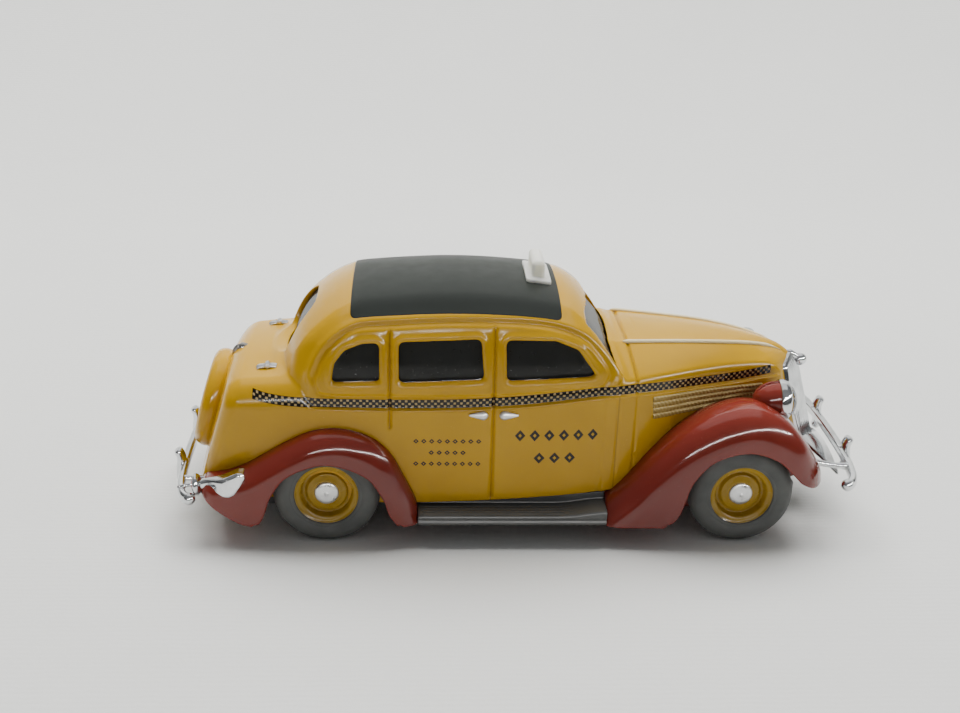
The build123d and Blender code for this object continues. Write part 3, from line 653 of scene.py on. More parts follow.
def lower_form(x, y, z):
    """Body below the belt, with the trunk."""
    side = (y - body_half(x) + tuck(z) + seams(x, z)) * 0.985
    at_trunk = smooth(-32.8, -35.2, x)
    crown = 0.0045 * y ** 2 * at_trunk
    lip = np.minimum(ledge(x), trunk_top(x)) * (1 - at_trunk) + trunk_top(x) * at_trunk
    top = (z - lip + crown) * 0.93
    back = (tail_line(z) + 0.0055 * y ** 2 - x) * 0.95
    return cut(side, (top, 0.42 + 3.3 * at_trunk), (back, 1.9), (x - 24, 0.5))


def grille_front(y, z):
    """How far forward the V of the grille stands."""
    return prow(z) - 0.7 * np.sqrt(y ** 2 + 0.09)


def hood_form(x, y, z):
    """The hood: a raised middle between the creases, falling to its edges, and its sides."""
    edge_half = body_half(x) - 0.42
    yc = np.minimum(crease(x), 0.66 * edge_half)
    t = np.clip((y - yc) / np.maximum(edge_half - yc, 0.1), 0, 1.6)
    inner = 0.55 * (np.minimum(y, yc) / yc) ** 2
    drop = np.maximum(hood_line(x) - 0.55 - hood_edge(x), 0.3)
    top = (z - hood_line(x) + inner + drop * (0.62 * t + 0.38 * t * t)) * 0.87
    low = 0.42 * smooth(ledge(x) + 0.12, ledge(x) - 0.25, z)
    side = (y - edge_half - low + 0.35 * tuck(z)) * 0.95
    seam = 0.3 * bead(x - HOOD_SEAM - 0.012 * y * y * 0.5, 0.24)
    nose = (x - grille_front(y, z) + 0.55) * 0.78
    return cut(rmax(side, top, 0.75) + seam, (nose, 0.6), (12.6 - x, 0.3))


def body_form(x, y, z):
    """The outside of the whole body, without its openings."""
    f = rmin(lower_form(x, y, z), cabin_form(x, y, z), 0.35 + 1.6 * smooth(-36.5, -39.5, x))
    return rmin(f, hood_form(x, y, z), 0.45)


def windows(x, y, z):
    """Negative inside the openings for the side windows, the windshield and the rear window."""
    side = np.maximum(smallest(*[pane(x, z) for pane in PANES]), 9 - y)
    front = largest(screen(y, z), 9.3 - x, x - 18.5, 0.22 - hood_form(x, y, z))
    return smallest(side, front, np.maximum(back_light(y, z), x + 31))


def body_shell(x, y, z):
    """The cast body: a wall that is open below and at the windows."""
    f = body_form(x, y, z)
    return cut(np.maximum(f, -(f + WALL)), (-windows(x, y, z), 0.33), (bottom_line(x) - z, 0.3))


def glazing_form(x, y, z):
    """One moulding inside the cabin's wall."""
    f = cabin_form(x, y, z)
    return largest(f + WALL, -(f + 2.3), 26.2 - z, z - 37.4, -hood_form(x, y, z))


# ------------------------------------------------------------------ fenders
# the crowns run from the foot behind the door or board over the wheel to the outer end; *_out, *_in and
# *_low bound the fenders outward, inward and below
front_crown = [(13.4, 7.3), (16.6, 10.4), (20.6, 15), (24.6, 18.8), (28.6, 21.4), (32.4, 22.9), (35.6, 23.4),
    (38.6, 22.8), (41.8, 20.9), (44.6, 17.9), (46.9, 14.6), (48.4, 12), (49, 9.6)]
front_profile = Field(np.concatenate([path(front_crown, closed=False), [(49, -4), (5, -4), (5, -1.2)]]),
    (0, -6), (58, 34))
front_low = curve([(0, 2), (41.4, 3), (42.8, 7), (44.2, 9), (46.4, 9.7), (60, 9.9)])
rear_crown = [(-16.6, 6.3), (-17.3, 8.2), (-18.7, 11.2), (-20.7, 15.1), (-23.4, 17.8), (-26.5, 19.15),
    (-29.8, 19.6), (-33.4, 19), (-37.2, 17.1), (-40.6, 14.9), (-43.7, 12.9), (-46.6, 11.6), (-49.4, 10.8),
    (-50.6, 9.6), (-50.9, 8)]
rear_profile = Field(np.concatenate([path(rear_crown, closed=False), [(-50.9, -4), (-13, -4), (-14.6, 2)]]),
    (-60, -6), (-8, 30))
rear_low = curve([(-56, 14), (-51, 8.6), (-49.1, 7), (-46.6, 5.3), (-44.4, 4.2), (-42.4, 3.75), (-40, 3.7),
    (0, 3.7), (60, 3.7)])
front_arch = Field(path([(52, -2), (52, 9), (48.6, 9.3), (46.4, 10), (44.2, 11.3), (42.3, 13.3), (39.4, 15.8),
    (34.9, 17.1), (30, 15.7), (26.9, 12.2), (25.7, 8.4), (25.1, 6.3), (24.1, 4.7), (22.8, 3.6), (22.6, -2)],
    corner=(0, 1, 14)), (0, -6), (58, 34))
rear_arch = Field(path([(-19, -2), (-19, 3.6), (-20, 4.3), (-21.2, 6.2), (-22.2, 9), (-25, 12.8),
    (-30.9, 14.8), (-36.6, 12.8), (-39.4, 9.2), (-40.5, 6), (-41.4, 4.3), (-42.4, 3.6), (-42.4, -2)],
    corner=(0, 12)), (-60, -4), (-8, 30))
front_out = curve([(10, 19.9), (18, 20), (28, 20.2), (36, 20.2), (40, 20), (43.5, 19.4), (46.5, 18.3),
    (49.5, 16.6)])
rear_out = curve([(-52, 18.3), (-49, 18.9), (-45, 19.6), (-40, 20), (-33, 20.2), (-24, 20.1), (-16, 19.9)])
front_in = curve([(10, 12), (22, 11), (30, 9.4), (36, 7.4), (42, 5.4), (45, 6), (47, 8.5), (49, 11.5)])


def fender_form(x, y, z):
    """Four fenders, each with its profile, sides, foot, arch and wheel room, and the web between them."""
    flank = np.maximum(y - 15, 0) ** 2 * 0.012
    swoop = 0.052 * np.maximum(14.6 - y, 0) ** 2 * smooth(12, 24, x)
    front = cut(front_profile(x, z) + flank + swoop, (y - front_out(x), 4.4 - 1.2 * smooth(40, 46, x)),
                (front_in(x) - y, 2.2 * smooth(36, 44, x) + 0.3), ((front_low(x) - z) * 0.6, 0.2),
                (13.4 - x, 0.3), (-np.maximum(front_arch(x, z), 12.8 - y), 0.35),
                (-largest(np.hypot(x - 35, z - 8.3) - WHEEL_ROOM, 13 - y, y - 18.9), 0.2))
    rear = cut(rear_profile(x, z) + flank, (y - rear_out(x), 3.2 - 0.6 * smooth(-42, -48, x)),
               ((rear_low(x) - z) * 0.85, 0.3), (12.6 - y, 0.3), (x + 16.6, 0.3),
               (-np.maximum(rear_arch(x, z), 12.8 - y), 0.35),
               (-largest(np.hypot(x - REAR_X, z - 7.6) - WHEEL_ROOM, 13 - y, y - 18.6), 0.2))
    pan = largest(np.abs(z - 10.8) - 0.5, y - 12.9, -46 - x, x - 43)
    sill = largest(np.abs(y - 13.6) - 0.9, np.abs(x - BOARD_X) - 15.2, 4.2 - z, z - 11.2)
    return rmax(smallest(front, rear, pan, sill), 3.7 - z, 0.25)


# ------------------------------------------------------------------ the large pieces
YELLOW, YELLOW_DARK = (0.57, 0.315, 0.004), (0.5, 0.27, 0.003)
RED, RED_DARK = (0.205, 0.027, 0.017), (0.16, 0.019, 0.012)

yellow = paint("yellow_enamel", YELLOW, YELLOW_DARK, 0.17)
red = paint("red_enamel", RED, RED_DARK, 0.13, spec=0.34, coat=0.18)


class Wire:
    """A number in a material's nodes, to calculate with."""

    def __init__(self, nodes, socket):
        self.nodes, self.socket = nodes, socket

    def op(self, kind, other=0):
        return Wire(self.nodes, self.nodes.math(kind, self.socket, other))


for name, kind in (("__add__", "ADD"), ("__sub__", "SUBTRACT"), ("__mul__", "MULTIPLY"),
                   ("__gt__", "GREATER_THAN"), ("__lt__", "LESS_THAN"), ("__abs__", "ABSOLUTE")):
    setattr(Wire, name, lambda self, other=0, kind=kind: self.op(kind, other))

# rows of lozenges on the doors: from x to x, from z to z, how many
LOZENGES = ((-1.9, 11.9, 17.1, 19.9, 6), (1.2, 8.5, 13.1, 15.9, 3), (-17.6, -6.6, 16.9, 18.1, 9),
            (-15.2, -9, 14.9, 16.1, 5), (-17.6, -6.6, 12.9, 14.1, 9))


def print_and_groove_shade(n):
    """Prints the belt of small squares and rows of lozenges on the doors, and paints shade as dark lines in
    the grooves.
    """
    enamel = n.b.inputs["Base Color"].links[0].from_socket
    u, v = [Wire(n, n.attr(name)) for name in ("belt_u", "belt_v")]
    cells = u.op("DIVIDE", CELL_LONG), (v + BELT_HALF).op("DIVIDE", CELL_HIGH)
    odd = abs(cells[0].op("FLOOR") + cells[1].op("FLOOR") + 400).op("MODULO", 2)
    for w in cells:  # each square keeps a thin dark edge
        odd = odd * n.range(abs(w.op("FRACT") - 0.5), 0.32, 0.42, 1, 0)
    on_belt = (abs(v) < BELT_HALF + 0.03) * (u > 0) * (u < BELT_LENGTH)
    split = n.add("ShaderNodeSeparateXYZ")
    n.link(n.place(), split.inputs[0])
    x, y, z = [Wire(n, q) * 1000 for q in split.outputs]
    beside = abs(y) > 10

    def thin(off):
        """How much painted shade a groove gets at a distance off its middle."""
        return Wire(n, n.range(abs(off), 0.04, 0.17, 0.42, 0))

    def between(w, low, high):
        return (w > low) * (w < high)

    # painted shade: dark lines along the hood seam and the door and trunk grooves
    line = thin(x - HOOD_SEAM - y * y * 0.006) * (z > 26.4)
    for at, foot, _, head in SEAMS:
        line = line.op("MAXIMUM", thin(x - at) * between(z, foot, head) * beside)
    ink = Wire(n, 0)
    for x0, x1, z0, z1, count in LOZENGES:
        across = ((x - x0) * (count / (x1 - x0))).op("FRACT")
        far = abs(across - 0.5) + abs((z - z0) * (1 / (z1 - z0)) - 0.5)
        ring = (far < 0.36) - (far < 0.12)
        ink = ink.op("MAXIMUM", ring * between(x, x0, x1) * between(z, z0, z1) * beside)
    colour = n.mix(on_belt, enamel, n.mix(odd, (0.005, 0.004, 0.003), (0.5, 0.36, 0.16)))
    # the groove lines take a dark painted shade colour, the lozenges dark ink
    n.base(ink, n.mix(line, colour, (0.11, 0.05, 0.003)), (0.012, 0.009, 0.006))


body_paint = paint("body_enamel", YELLOW, YELLOW_DARK, 0.17)
# the body enamel gets its printed belt and lozenges and the painted shade in its grooves
print_and_groove_shade(body_paint)

shell = solid("body", body_shell, (-54.2, 0, 5.5), (53, 18, 42.5), 0.28, target=195000)
OFF_BELT = 9
# how far along the belt and how far above its middle each vertex lies; OFF_BELT where it isn't on a side
p = points_of(shell)
xs = np.linspace(-44, 44, 1200)
steps = np.hypot(np.hypot(np.diff(xs), np.diff(belt(xs))), np.diff(body_half(xs)))
along = np.concatenate([[0], np.cumsum(steps)])
on_side = np.abs(p[:, 1]) > body_half(p[:, 0]) - 2.4
attribute(shell, "belt_u", np.interp(p[:, 0], xs, along) - np.interp(BELT_START, xs, along))
attribute(shell, "belt_v", np.where(on_side, p[:, 2] - belt(p[:, 0]), OFF_BELT))
assign(shell, body_paint, "yellow_paint", "body_shell")


def height(form, x, y, low, high):
    """Height of the surface of form over points in plan."""
    a, b = np.full(len(x), float(low)), np.full(len(x), float(high))
    for _ in range(24):
        mid = (a + b) / 2
        inside = form(x, np.abs(y), mid) < 0
        a, b = np.where(inside, mid, a), np.where(inside, b, mid)
    return a


# the beads on the creases of the hood, which run straight over the seam at its rear
beads = []
for sign in (-1, 1):
    bx = np.linspace(15.9, 43.6, 64)
    by = sign * np.minimum(crease(bx), 0.66 * (body_half(bx) - 0.42))
    clear = np.abs(bx - 16.8) > 0.8
    bz = np.interp(bx, bx[clear], height(hood_form, bx, by, 24, 34)[clear]) + 0.05
    size = np.clip(np.minimum((bx - 15.7) / 0.8, (43.8 - bx) / 3), 0.2, 1)
    beads.append(tube("bead", np.column_stack([bx, by, bz]), ellipse(0.36, 0.34, 14), scale=size, angle=80))
# the beads are painted pale cream: a painted highlight along each crease of the hood
bead_highlight_paint = paint("bead_painted_highlight", (0.94, 0.82, 0.52), (0.86, 0.7, 0.36), 0.14)
assign(join("hood_beads", beads), bead_highlight_paint, "yellow_paint")

fenders = solid("fenders", fender_form, (-52, 0, 3), (50, 21, 25), 0.3, target=170000)
assign(fenders, red, "red_paint", "fender_casting")

charcoal = plastic("charcoal_satin", (0.016, 0.02, 0.017), 0.42, bump=0.04, spec=0.2, vary=0.92)


def on_roof(x, y):
    return height(body_form, x, y, 33, 42)


def roof_panel():
    """The panel let into the roof: a thin sheet that follows the roof, with a crisp edge."""
    outline = rounded([(-27.2, -12.9), (5.3, -12.95), (5.3, 12.95), (-27.2, 12.9)], 1.1, 8)
    closed = np.concatenate([outline, outline[:1]])

    def split(a, b):
        return a + (b - a) * np.linspace(0, 1, max(2, int(np.hypot(*(b - a)) / 0.6)), endpoint=False)[:, None]

    fine = np.concatenate([split(a, b) for a, b in zip(closed, closed[1:])])
    middle = np.array([-11.1, 0])
    verts, rows = [(*middle, on_roof(*middle.reshape(2, 1))[0] + 0.09)], []
    normal = fine - np.roll(fine, 1, 0)
    normal = np.stack([normal[:, 1], -normal[:, 0]], 1)
    normal = normal / np.maximum(np.linalg.norm(normal, axis=1), 1e-9)[:, None]
    rim = [(1, -0.06, 0.09), (1, -0.015, 0.075), (1, 0, 0.04), (1, 0, -0.35)]
    for s, out, lift in [(q, 0, 0.09) for q in np.linspace(0.06, 0.985, 18)] + rim:
        p = middle + (fine - middle) * s + normal * out
        rows.append(len(verts))
        verts += [tuple(q) for q in np.column_stack([p, on_roof(p[:, 0], p[:, 1]) + lift])]
    k, faces = len(fine), []
    for i in range(k):
        j = (i + 1) % k
        faces.append([0, rows[0] + i, rows[0] + j])
        for a, b in zip(rows, rows[1:]):
            faces.append([a + i, b + i, b + j, a + j])
    return weld(new_object("roof_panel", verts, faces), 40)


assign(roof_panel(), charcoal, "charcoal_trim", "roof_insert")


def glazing_plastic():
    """Dark clear plastic: mostly smoke, a little see-through, with a sheen capped at grazing angles."""
    n = Nodes("clear_plastic_glazing")
    n.t.nodes.remove(n.b)
    clear, smoke, shine = [n.add("ShaderNodeBsdf" + kind) for kind in ("Transparent", "Diffuse", "Glossy")]
    clear.inputs[0].default_value = (0.3, 0.31, 0.3, 1)
    shine.inputs["Color"].default_value = (0.9, 0.9, 0.9, 1)
    n.link(n.mix(n.noise(150, 4), (0.026, 0.027, 0.026), (0.036, 0.037, 0.036)), smoke.inputs["Color"])
    n.link(n.patches(300, 4, 0.3, 0.7, 0.04, 0.12), shine.inputs["Roughness"])
    fresnel = n.add("ShaderNodeFresnel")
    fresnel.inputs["IOR"].default_value = 1.33
    dust = n.patches(2200, 3, 0.66, 0.74, 0, 0.1)
    sheen = n.math("ADD", n.math("MINIMUM", fresnel.outputs[0], 0.22), dust)

    def blend(fac, first, second):
        mixer = n.add("ShaderNodeMixShader")
        n.value(mixer.inputs[0], fac)
        n.link(first, mixer.inputs[1])
        n.link(second, mixer.inputs[2])
        return mixer.outputs[0]

    n.link(blend(sheen, blend(0.88, clear.outputs[0], smoke.outputs[0]), shine.outputs[0]), n.out.inputs[0])
    return n


pane = solid("glazing_moulding", glazing_form, (-40, 0, 25.5), (19, 16, 38), 0.42, target=60000)
assign(pane, glazing_plastic(), "clear_glazing", "glazing")

# ------------------------------------------------------------------ wheels
rubber = Nodes("tyre_rubber")
rubber.set(Specular_IOR_Level=0.3)
rubber.base(rubber.patches(180, 5), (0.072, 0.075, 0.072), (0.11, 0.114, 0.108))
rubber.rough(300, 4, 0.3, 0.7, 0.55, 0.78)
rubber.bump(rubber.noise(900, 5, 0.6), 0.25, 0.0001)
wheel_paint = paint("wheel_enamel", (0.4, 0.245, 0.014), (0.33, 0.19, 0.009), 0.24)
silver = chrome("silver_trim", (0.62, 0.62, 0.62), 0.32)
bright = chrome("bright_plating", (0.68, 0.69, 0.7), 0.1)

TYRE = [(5, 1.45), (5.15, 1.72), (5.45, 1.82), (5.62, 1.8), (5.72, 1.86), (6.3, 1.96), (6.9, 1.94),
    (7.35, 1.82), (7.75, 1.58), (8.05, 1.28), (8.25, 0.98), (8.36, 0.7)]
# three grooves run round the tread
TREAD = [(r, middle + d) for middle in (0.42, 0, -0.42)
         for r, d in ((8.4, 0.17), (8.3, 0.13), (8.3, -0.13), (8.4, -0.17))]
TYRE_ALL = [*TYRE, (8.39, 0.62), *TREAD, (8.39, -0.62), *((r, -d) for r, d in reversed(TYRE)), (5, 1.45)]
WHEEL = arc_profile([(0.76, -1.15), (0.76, 0.7), (2.1, 0.7), (2.6, 0.52), (3.1, 0.4), (3.4, -0.15),
    (3.9, -0.15), (4.12, 0.95), (4.35, 1.16), (4.75, 1.26), (5, 1.5), (5.12, 1.44), (5.02, 1.1),
    (5.02, -1.3), (4.5, -1.3), (4.3, -0.8), (2.2, -0.8), (2, -1.15), (0.76, -1.15)], 0.14)
CAP = arc_profile([(0, 1.38), (0.2, 1.38), (0.3, 1.24), (1.3, 1.18), (1.72, 1.04), (1.9, 0.86), (1.9, 0.6),
    (0, 0.6)], 0.1)
# what is turned for each wheel: profile, segments, angle of its crisp edges, material, slot and CAD node
TURNED = (("rubber", TYRE_ALL, 120, 28, rubber, "tyre", "tyre"),
          ("disc", WHEEL, 96, 35, wheel_paint, "yellow_wheel", "wheel"),
          ("cap", CAP, 72, 35, silver, "silver_trim", "hubcap"))
for end in ("front", "rear"):
    for side, sign in SIDES:
        tag = f"_{end}_{side}"
        for name, profile, segments, angle, nodes, slot, node in TURNED:
            o = lathe(name + tag, profile, centre_of("tyre" + tag), (0, sign, 0), segments, angle)
            assign(o, nodes, slot, node + tag, body=end + "_wheels")

# ------------------------------------------------------------------ running boards
board_n = plastic("running_board_plastic", (0.08, 0.082, 0.08), 0.4, bump=0.08)


def board_form(x, y, z):
    """A running board: ribbed on top, with a groove along its edge, joined to the sill of the body."""
    ribs = 0.15 * wave(y - 16.35, 0.82) * smooth(16.2, 16.5, y) * smooth(19.7, 19.3, y)
    ribs = ribs * smooth(8.6, 6.4, x) * smooth(-16.2, -15.6, x)
    top = z - 5.75 - 0.85 * smooth(4.5, 13.2, x) ** 1.3 - ribs
    groove = 0.22 * bead(z - 5, 0.28) * smooth(18, 19.5, y)
    board = rmax(cut(top, (y - 19.75, 0.5), (4.15 - z, 0.35)) + groove, 14.7 - y, 0.2)
    sill = largest(np.abs(y - 14.9) - 0.35, z - bottom_line(x) + 0.15, 4.3 - z)
    return rmax(rmin(board, sill, 0.25), np.abs(x - BOARD_X) - 15, 0.12)


for side, sign in SIDES:
    b = one_side("board_" + side, board_form, sign, ((-17.2, 14.2, 3.6), (14, 20.2, 10.2)), 0.2, 70000)
    assign(b, board_n, "charcoal_trim", "running_board_" + side)

# ------------------------------------------------------------------ grille
GRILLE_OUTLINE = [(-4.1, 8.6), (0, 7.4), (4.1, 8.6), (4.95, 17), (5.05, 22.8), (4.4, 25.4), (0, 26.5),
    (-4.4, 25.4), (-5.05, 22.8), (-4.95, 17)]
grille_face = Field(rounded(GRILLE_OUTLINE, [0.8, 0.6, 0.8, 2, 2, 1.2, 1.2, 1.2, 2, 2]), (-8, 4), (8, 30))


def grille_form(x, y, z):
    """A rim round upright bars, with a spine down the middle of the V."""
    d = grille_face(y, z)
    front = grille_front(y, z)
    spine = bead(y, 0.26)
    bars = -0.42 + 0.34 * wave(y, 0.62) ** 1.5 * (1 - spine) + 0.45 * spine
    relief = smooth(-0.45, -0.75, d) * bars + 0.1 * bead(d + 0.28, 0.2)
    return cut((x - front - relief) * 0.78, (d, 0.18), ((front - 2.6 - x) * 0.8, 0.1))


grille = solid("grille_shell", grille_form, (42, 0, 6.5), (53.6, 6, 27.2), 0.13, target=180000)
assign(grille, bright, "chrome_trim", "grille")

MASCOT = arc_profile([(0, 1.1), (0.55, 1), (0.95, 0.55), (1.08, 0), (0.95, -0.55), (0.55, -1), (0, -1.1)],
    0.25)
STALK = arc_profile([(0, 1.6), (0.35, 1.5), (0.55, 0.6), (0.72, -0.9), (0.2, -1.8), (0, -1.9)], 0.2)
mascot = [lathe("mascot_ball", MASCOT, (47.6, 0, 24.9), (1, 0, 0.15), 40, 80),
          lathe("mascot_stalk", STALK, (46.4, 0, 25.6), (1, 0, -0.5), 32, 80)]
assign(join("grille_mascot", mascot), bright, "chrome_trim", "grille_cap")

# ------------------------------------------------------------------ headlights
BULLET = [(0, -2.65), (0.8, -2.5), (1.55, -2.05), (2.2, -1.4), (2.68, -0.6), (2.96, 0.25), (3.07, 0.95),
    (3.1, 1.5), (2.74, 1.5), (2.4, 0.95), (1.6, 0.35), (0, 0)]
BEZEL = arc_profile([(2.95, 1.25), (3.28, 1.3), (3.42, 1.65), (3.38, 2.3), (3.18, 2.85), (2.9, 3.12),
    (2.7, 3), (2.62, 2.6), (2.62, 1.3), (2.95, 1.25)], 0.16)
REFLECTOR = [(2.76, 1.95), (2.5, 1.35), (1.9, 0.75), (1, 0.35), (0.35, 0.25), (0.3, 0.9), (0, 1)]
LENS = [(2.72, 2.4), (2.7, 2.95), (2.52, 3.35), (2.15, 3.78), (1.6, 4.15), (0.85, 4.42), (0, 4.52)]
lens_n = Nodes("moulded_lens")
lens_n.set(Transmission_Weight=1, IOR=1.45, Specular_IOR_Level=0.6)
lens_n.base(lens_n.noise(200, 3), (0.93, 0.94, 0.95), (0.85, 0.86, 0.87))
lens_n.rough(600, 3, 0.3, 0.7, 0.02, 0.1)
lens_n.bump(lens_n.bands("Y", 420), 0.5, 0.0001)
RIDGE = [(37.4, 23.9), (38.2, 24.9), (39.4, 25.5), (40.8, 25.7)]
for side, sign in SIDES:
    y = centre_of("headlight_rim_" + side)[1]
    at, way = (39.5, y, 22.55), (1, sign * 0.02, -0.03)
    housing = lathe("bullet", BULLET, at, way, 72, 60)
    foot = tube("foot", [(39, sign * 11.2, 20.8), (39.2, sign * 11.3, 19.6), (39.4, sign * 11.6, 17)],
                ellipse(1.5, 0.9, 24), up=(1, 0, 0))
    ridge = tube("ridge", [(x, y, z) for x, z in RIDGE], ellipse(0.16, 0.2, 12), up=(0, 1, 0))
    assign(join("lamp_housing_" + side, [housing, foot, ridge]), red, "red_paint", "headlight_shell_" + side)
    ring = lathe("bezel", BEZEL, at, way, 84, 50)
    dish = lathe("dish", REFLECTOR, at, way, 72, 60)
    assign(join("lamp_bezel_" + side, [ring, dish]), bright, "chrome_trim", "headlight_rim_" + side)
    assign(lathe("lamp_glass_" + side, LENS, at, way, 72, 60), lens_n, "lamp_lens", "headlight_lens_" + side)

# ------------------------------------------------------------------ bumpers
def full(v, power):
    """v to a power, with its sign kept."""
    return math.copysign(abs(v) ** power, v)


# the section of the bar: an oval with full corners
SECTION = [(0.66 * full(math.cos(t), 0.7), 0.92 * full(math.sin(t), 0.85))
           for t in np.linspace(0, TURN, 32, endpoint=False)]


def ball(name, at, r):
    """A ball at the end of a bar."""
    rows = [(r * math.sin(a), r * math.cos(a)) for a in np.linspace(0, math.pi, 14)[1:-1]]
    return lathe(name, [(0, r), *rows, (0, -r)], at, (0, 1, 0.3), 28, 80)


# half of the bar in plan, an overrider from the side (both from the bar's middle), and the boss that holds it
BAR = [(0, 0), (-0.02, 4), (-0.1, 8), (-0.3, 12), (-0.62, 15), (-1, 16.8), (-1.6, 17.9), (-2.3, 18.3)]
OVERRIDER = [(0.35, -3.1), (0.7, -2.2), (0.62, -1), (0.42, 0.5), (0.5, 1.6), (1, 2.6)]
BOSS = arc_profile([(0, 1.25), (0.8, 1.15), (1.15, 0.8), (1.2, 0.2), (0.8, -0.3), (0, -0.4)], 0.2)


def bumper(name, node, way, x_mid, z_bar, arm_from, extra=()):
    """A bar with end balls, two overriders and two arms. way is 1 at the front and -1 at the rear."""
    parts, droop, tip = list(extra), 0.8, 18.3
    line = [(x, -y) for x, y in reversed(BAR)] + BAR[1:]
    bent = [(way * (x_mid + x), y, z_bar - droop * (abs(y) / tip) ** 3) for x, y in line]
    parts.append(tube(name + "_bar", path(bent, closed=False, steps=6), SECTION, angle=50))
    for s in (-1, 1):
        parts.append(ball(name + "_end", (way * (x_mid - 2.35), s * tip, z_bar - droop), 0.98))
        g = path([(way * (x_mid + x), s * 8, z_bar + z) for x, z in OVERRIDER], closed=False, steps=5)
        scale = np.interp(np.linspace(0, 1, len(g)), [0, 0.06, 0.5, 0.93, 1], [0.6, 0.9, 1, 0.95, 0.7])
        parts.append(tube(name + "_guard", g, ellipse(0.78, 1.12, 22), up=(0, 1, 0), scale=scale, angle=60))
        parts.append(lathe(name + "_boss", BOSS, (way * (x_mid - 0.3), s * 8, z_bar), (way, 0, 0), 28, 60))
        arm = path([(way * arm_from[0], s * 12.4, arm_from[1]), (way * (x_mid - 3), s * 12.8, z_bar - 0.1),
                    (way * (x_mid - 0.6), s * 13, z_bar)], closed=False, steps=6)
        parts.append(tube(name + "_arm", arm, ellipse(0.5, 0.5, 14), up=(0, 1, 0), angle=60))
    assign(join(name, parts), bright, "chrome_trim", node)


def apron_form(x, y, z):
    """The sheet between the grille and the front bumper, falling and widening to the front."""
    sheet = np.abs(z - (11.9 - 0.52 * (x - 49)) + 0.02 * y ** 2) * 0.88 - 0.32
    half = 4.6 + 0.85 * (x - 48.5)
    return cut(sheet, ((y - half) * 0.8, 0.15), (np.maximum(47.4 - x, x - 53.8), 0.1))


apron = solid("apron", apron_form, (47, 0, 7), (54.2, 9.8, 13.6), 0.2, target=40000)
bumper("front_bar", "front_bumper", 1, 54.2, 11.6, (46.2, 12.3), [apron])
bumper("rear_bar", "rear_bumper", -1, 54.6, 8.9, (47.5, 8.6))

# ------------------------------------------------------------------ tail lamps
tail_red = plastic("tail_lens_plastic", (0.42, 0.02, 0.012), 0.12, bump=0.05)
FIN = [(-51, 10.45), (-49.6, 10.85), (-46.6, 12), (-44.5, 13), (-43.5, 13), (-43.2, 12), (-44, 10.6),
    (-44.9, 9.3), (-45.8, 8.8), (-46.8, 8.9), (-48.6, 9.2), (-51, 9.1)]
fin_side = Field(rounded(FIN, [0.2, 1, 2, 0.8, 0.6, 0.8, 1, 0.8, 0.8, 1, 1, 0.2]), (-54, 5), (-40, 16))


def fin_form(x, y, z):
    """The drop-shaped arm of a tail lamp."""
    middle = 16.6 + 1.5 * smooth(-50.5, -46.5, x) + 0.12 * np.maximum(11.5 - z, 0) * smooth(-49, -46, x)
    half = 0.75 + 0.6 * smooth(-50, -46.4, x)
    return rmax(fin_side(x, z), np.abs(y - middle) - half, 0.62)


CUP = arc_profile([(0, -0.45), (0.8, -0.4), (1.55, -0.05), (1.8, 0.35), (1.72, 0.75), (1.42, 0.88),
    (1.36, 0.6), (0, 0.6)], 0.16)
TAIL_LENS = arc_profile([(1.38, 0.58), (1.34, 0.86), (0.9, 1.08), (0.4, 1.16), (0, 1.18)], 0.2)
for side, sign in SIDES:
    fin = one_side("fin", fin_form, sign, ((-51.4, 14.8, 7.4), (-42.8, 20.2, 13.6)), 0.14, 24000)
    b, back = Vector((-50.9, sign * 16.5, 9.7)), (-1, 0, -0.06)
    rod = tube("rod", [b + Vector(v) for v in ((-0.4, 0, 0), (-1.8, 0, -0.15), (-3.3, 0, -0.6))],
               ellipse(0.34, 0.34, 12), angle=60)
    parts = [fin, lathe("cup", CUP, b, back, 44, 45), rod]
    assign(join("tail_lamp_arm_" + side, parts), bright, "chrome_trim", "tail_lamp_" + side)
    glass = lathe("tail_glass_" + side, TAIL_LENS, b, back, 40, 60)
    assign(glass, tail_red, "tail_lens", "tail_lens_" + side)

# ------------------------------------------------------------------ handles, hinges, spare cover
def teardrop(name, at, length, height, out, way):
    """A handle: round boss at one end, tapering to a point, standing off the door."""
    ts, wide = np.linspace(0, 1, 20), 0.28
    line = [(at[0] + way * length * (t - 0.35), at[1], at[2] + 0.05 * t) for t in ts]
    scale = [math.sqrt(max(0.02, 1 - ((t - wide) / wide) ** 2)) if t < wide
             else 1 - 0.8 * ((t - wide) / 0.72) ** 1.15 for t in ts]
    return tube(name, line, ellipse(out, height, 18), scale=scale, angle=80)


ROSE = arc_profile([(0, 0.42), (0.36, 0.38), (0.52, 0.12), (0.56, -0.3), (0, -0.3)], 0.1)
PIN = arc_profile([(0, 0.8), (0.42, 0.72), (0.45, -0.72), (0, -0.8)], 0.12)
LEAF = [(-41.9, 26.65), (-41.6, 26.85), (-40.6, 27), (-39.5, 27.05), (-39, 26.95)]
for side, sign in SIDES:
    for place, x, way in (("front", -3.1, 1), ("rear", -6.9, -1)):
        y = sign * (float(body_half(x)) + 0.12)
        drop = teardrop("grip", (x, y + sign * 0.1, 22.05), 3, 0.72, 0.6, way)
        plate = lathe("rose", ROSE, (x, y - sign * 0.05, 22.05), (0, sign, 0), 28, 60)
        tag = f"handle_{place}_{side}"
        assign(join(tag, [drop, plate]), silver, "silver_trim", "door_" + tag)
    y = centre_of("trunk_hinge_" + side)[1]
    line = path([(x, y, z) for x, z in LEAF], closed=False, steps=5)
    leaf = tube("leaf", line, ellipse(0.62, 0.36, 18), angle=60)
    pin = lathe("pin", PIN, (-40.4, y, 27.15), (0, 1, 0), 24, 50)
    assign(join("hinge_" + side, [leaf, pin]), silver, "silver_trim", "trunk_hinge_" + side)

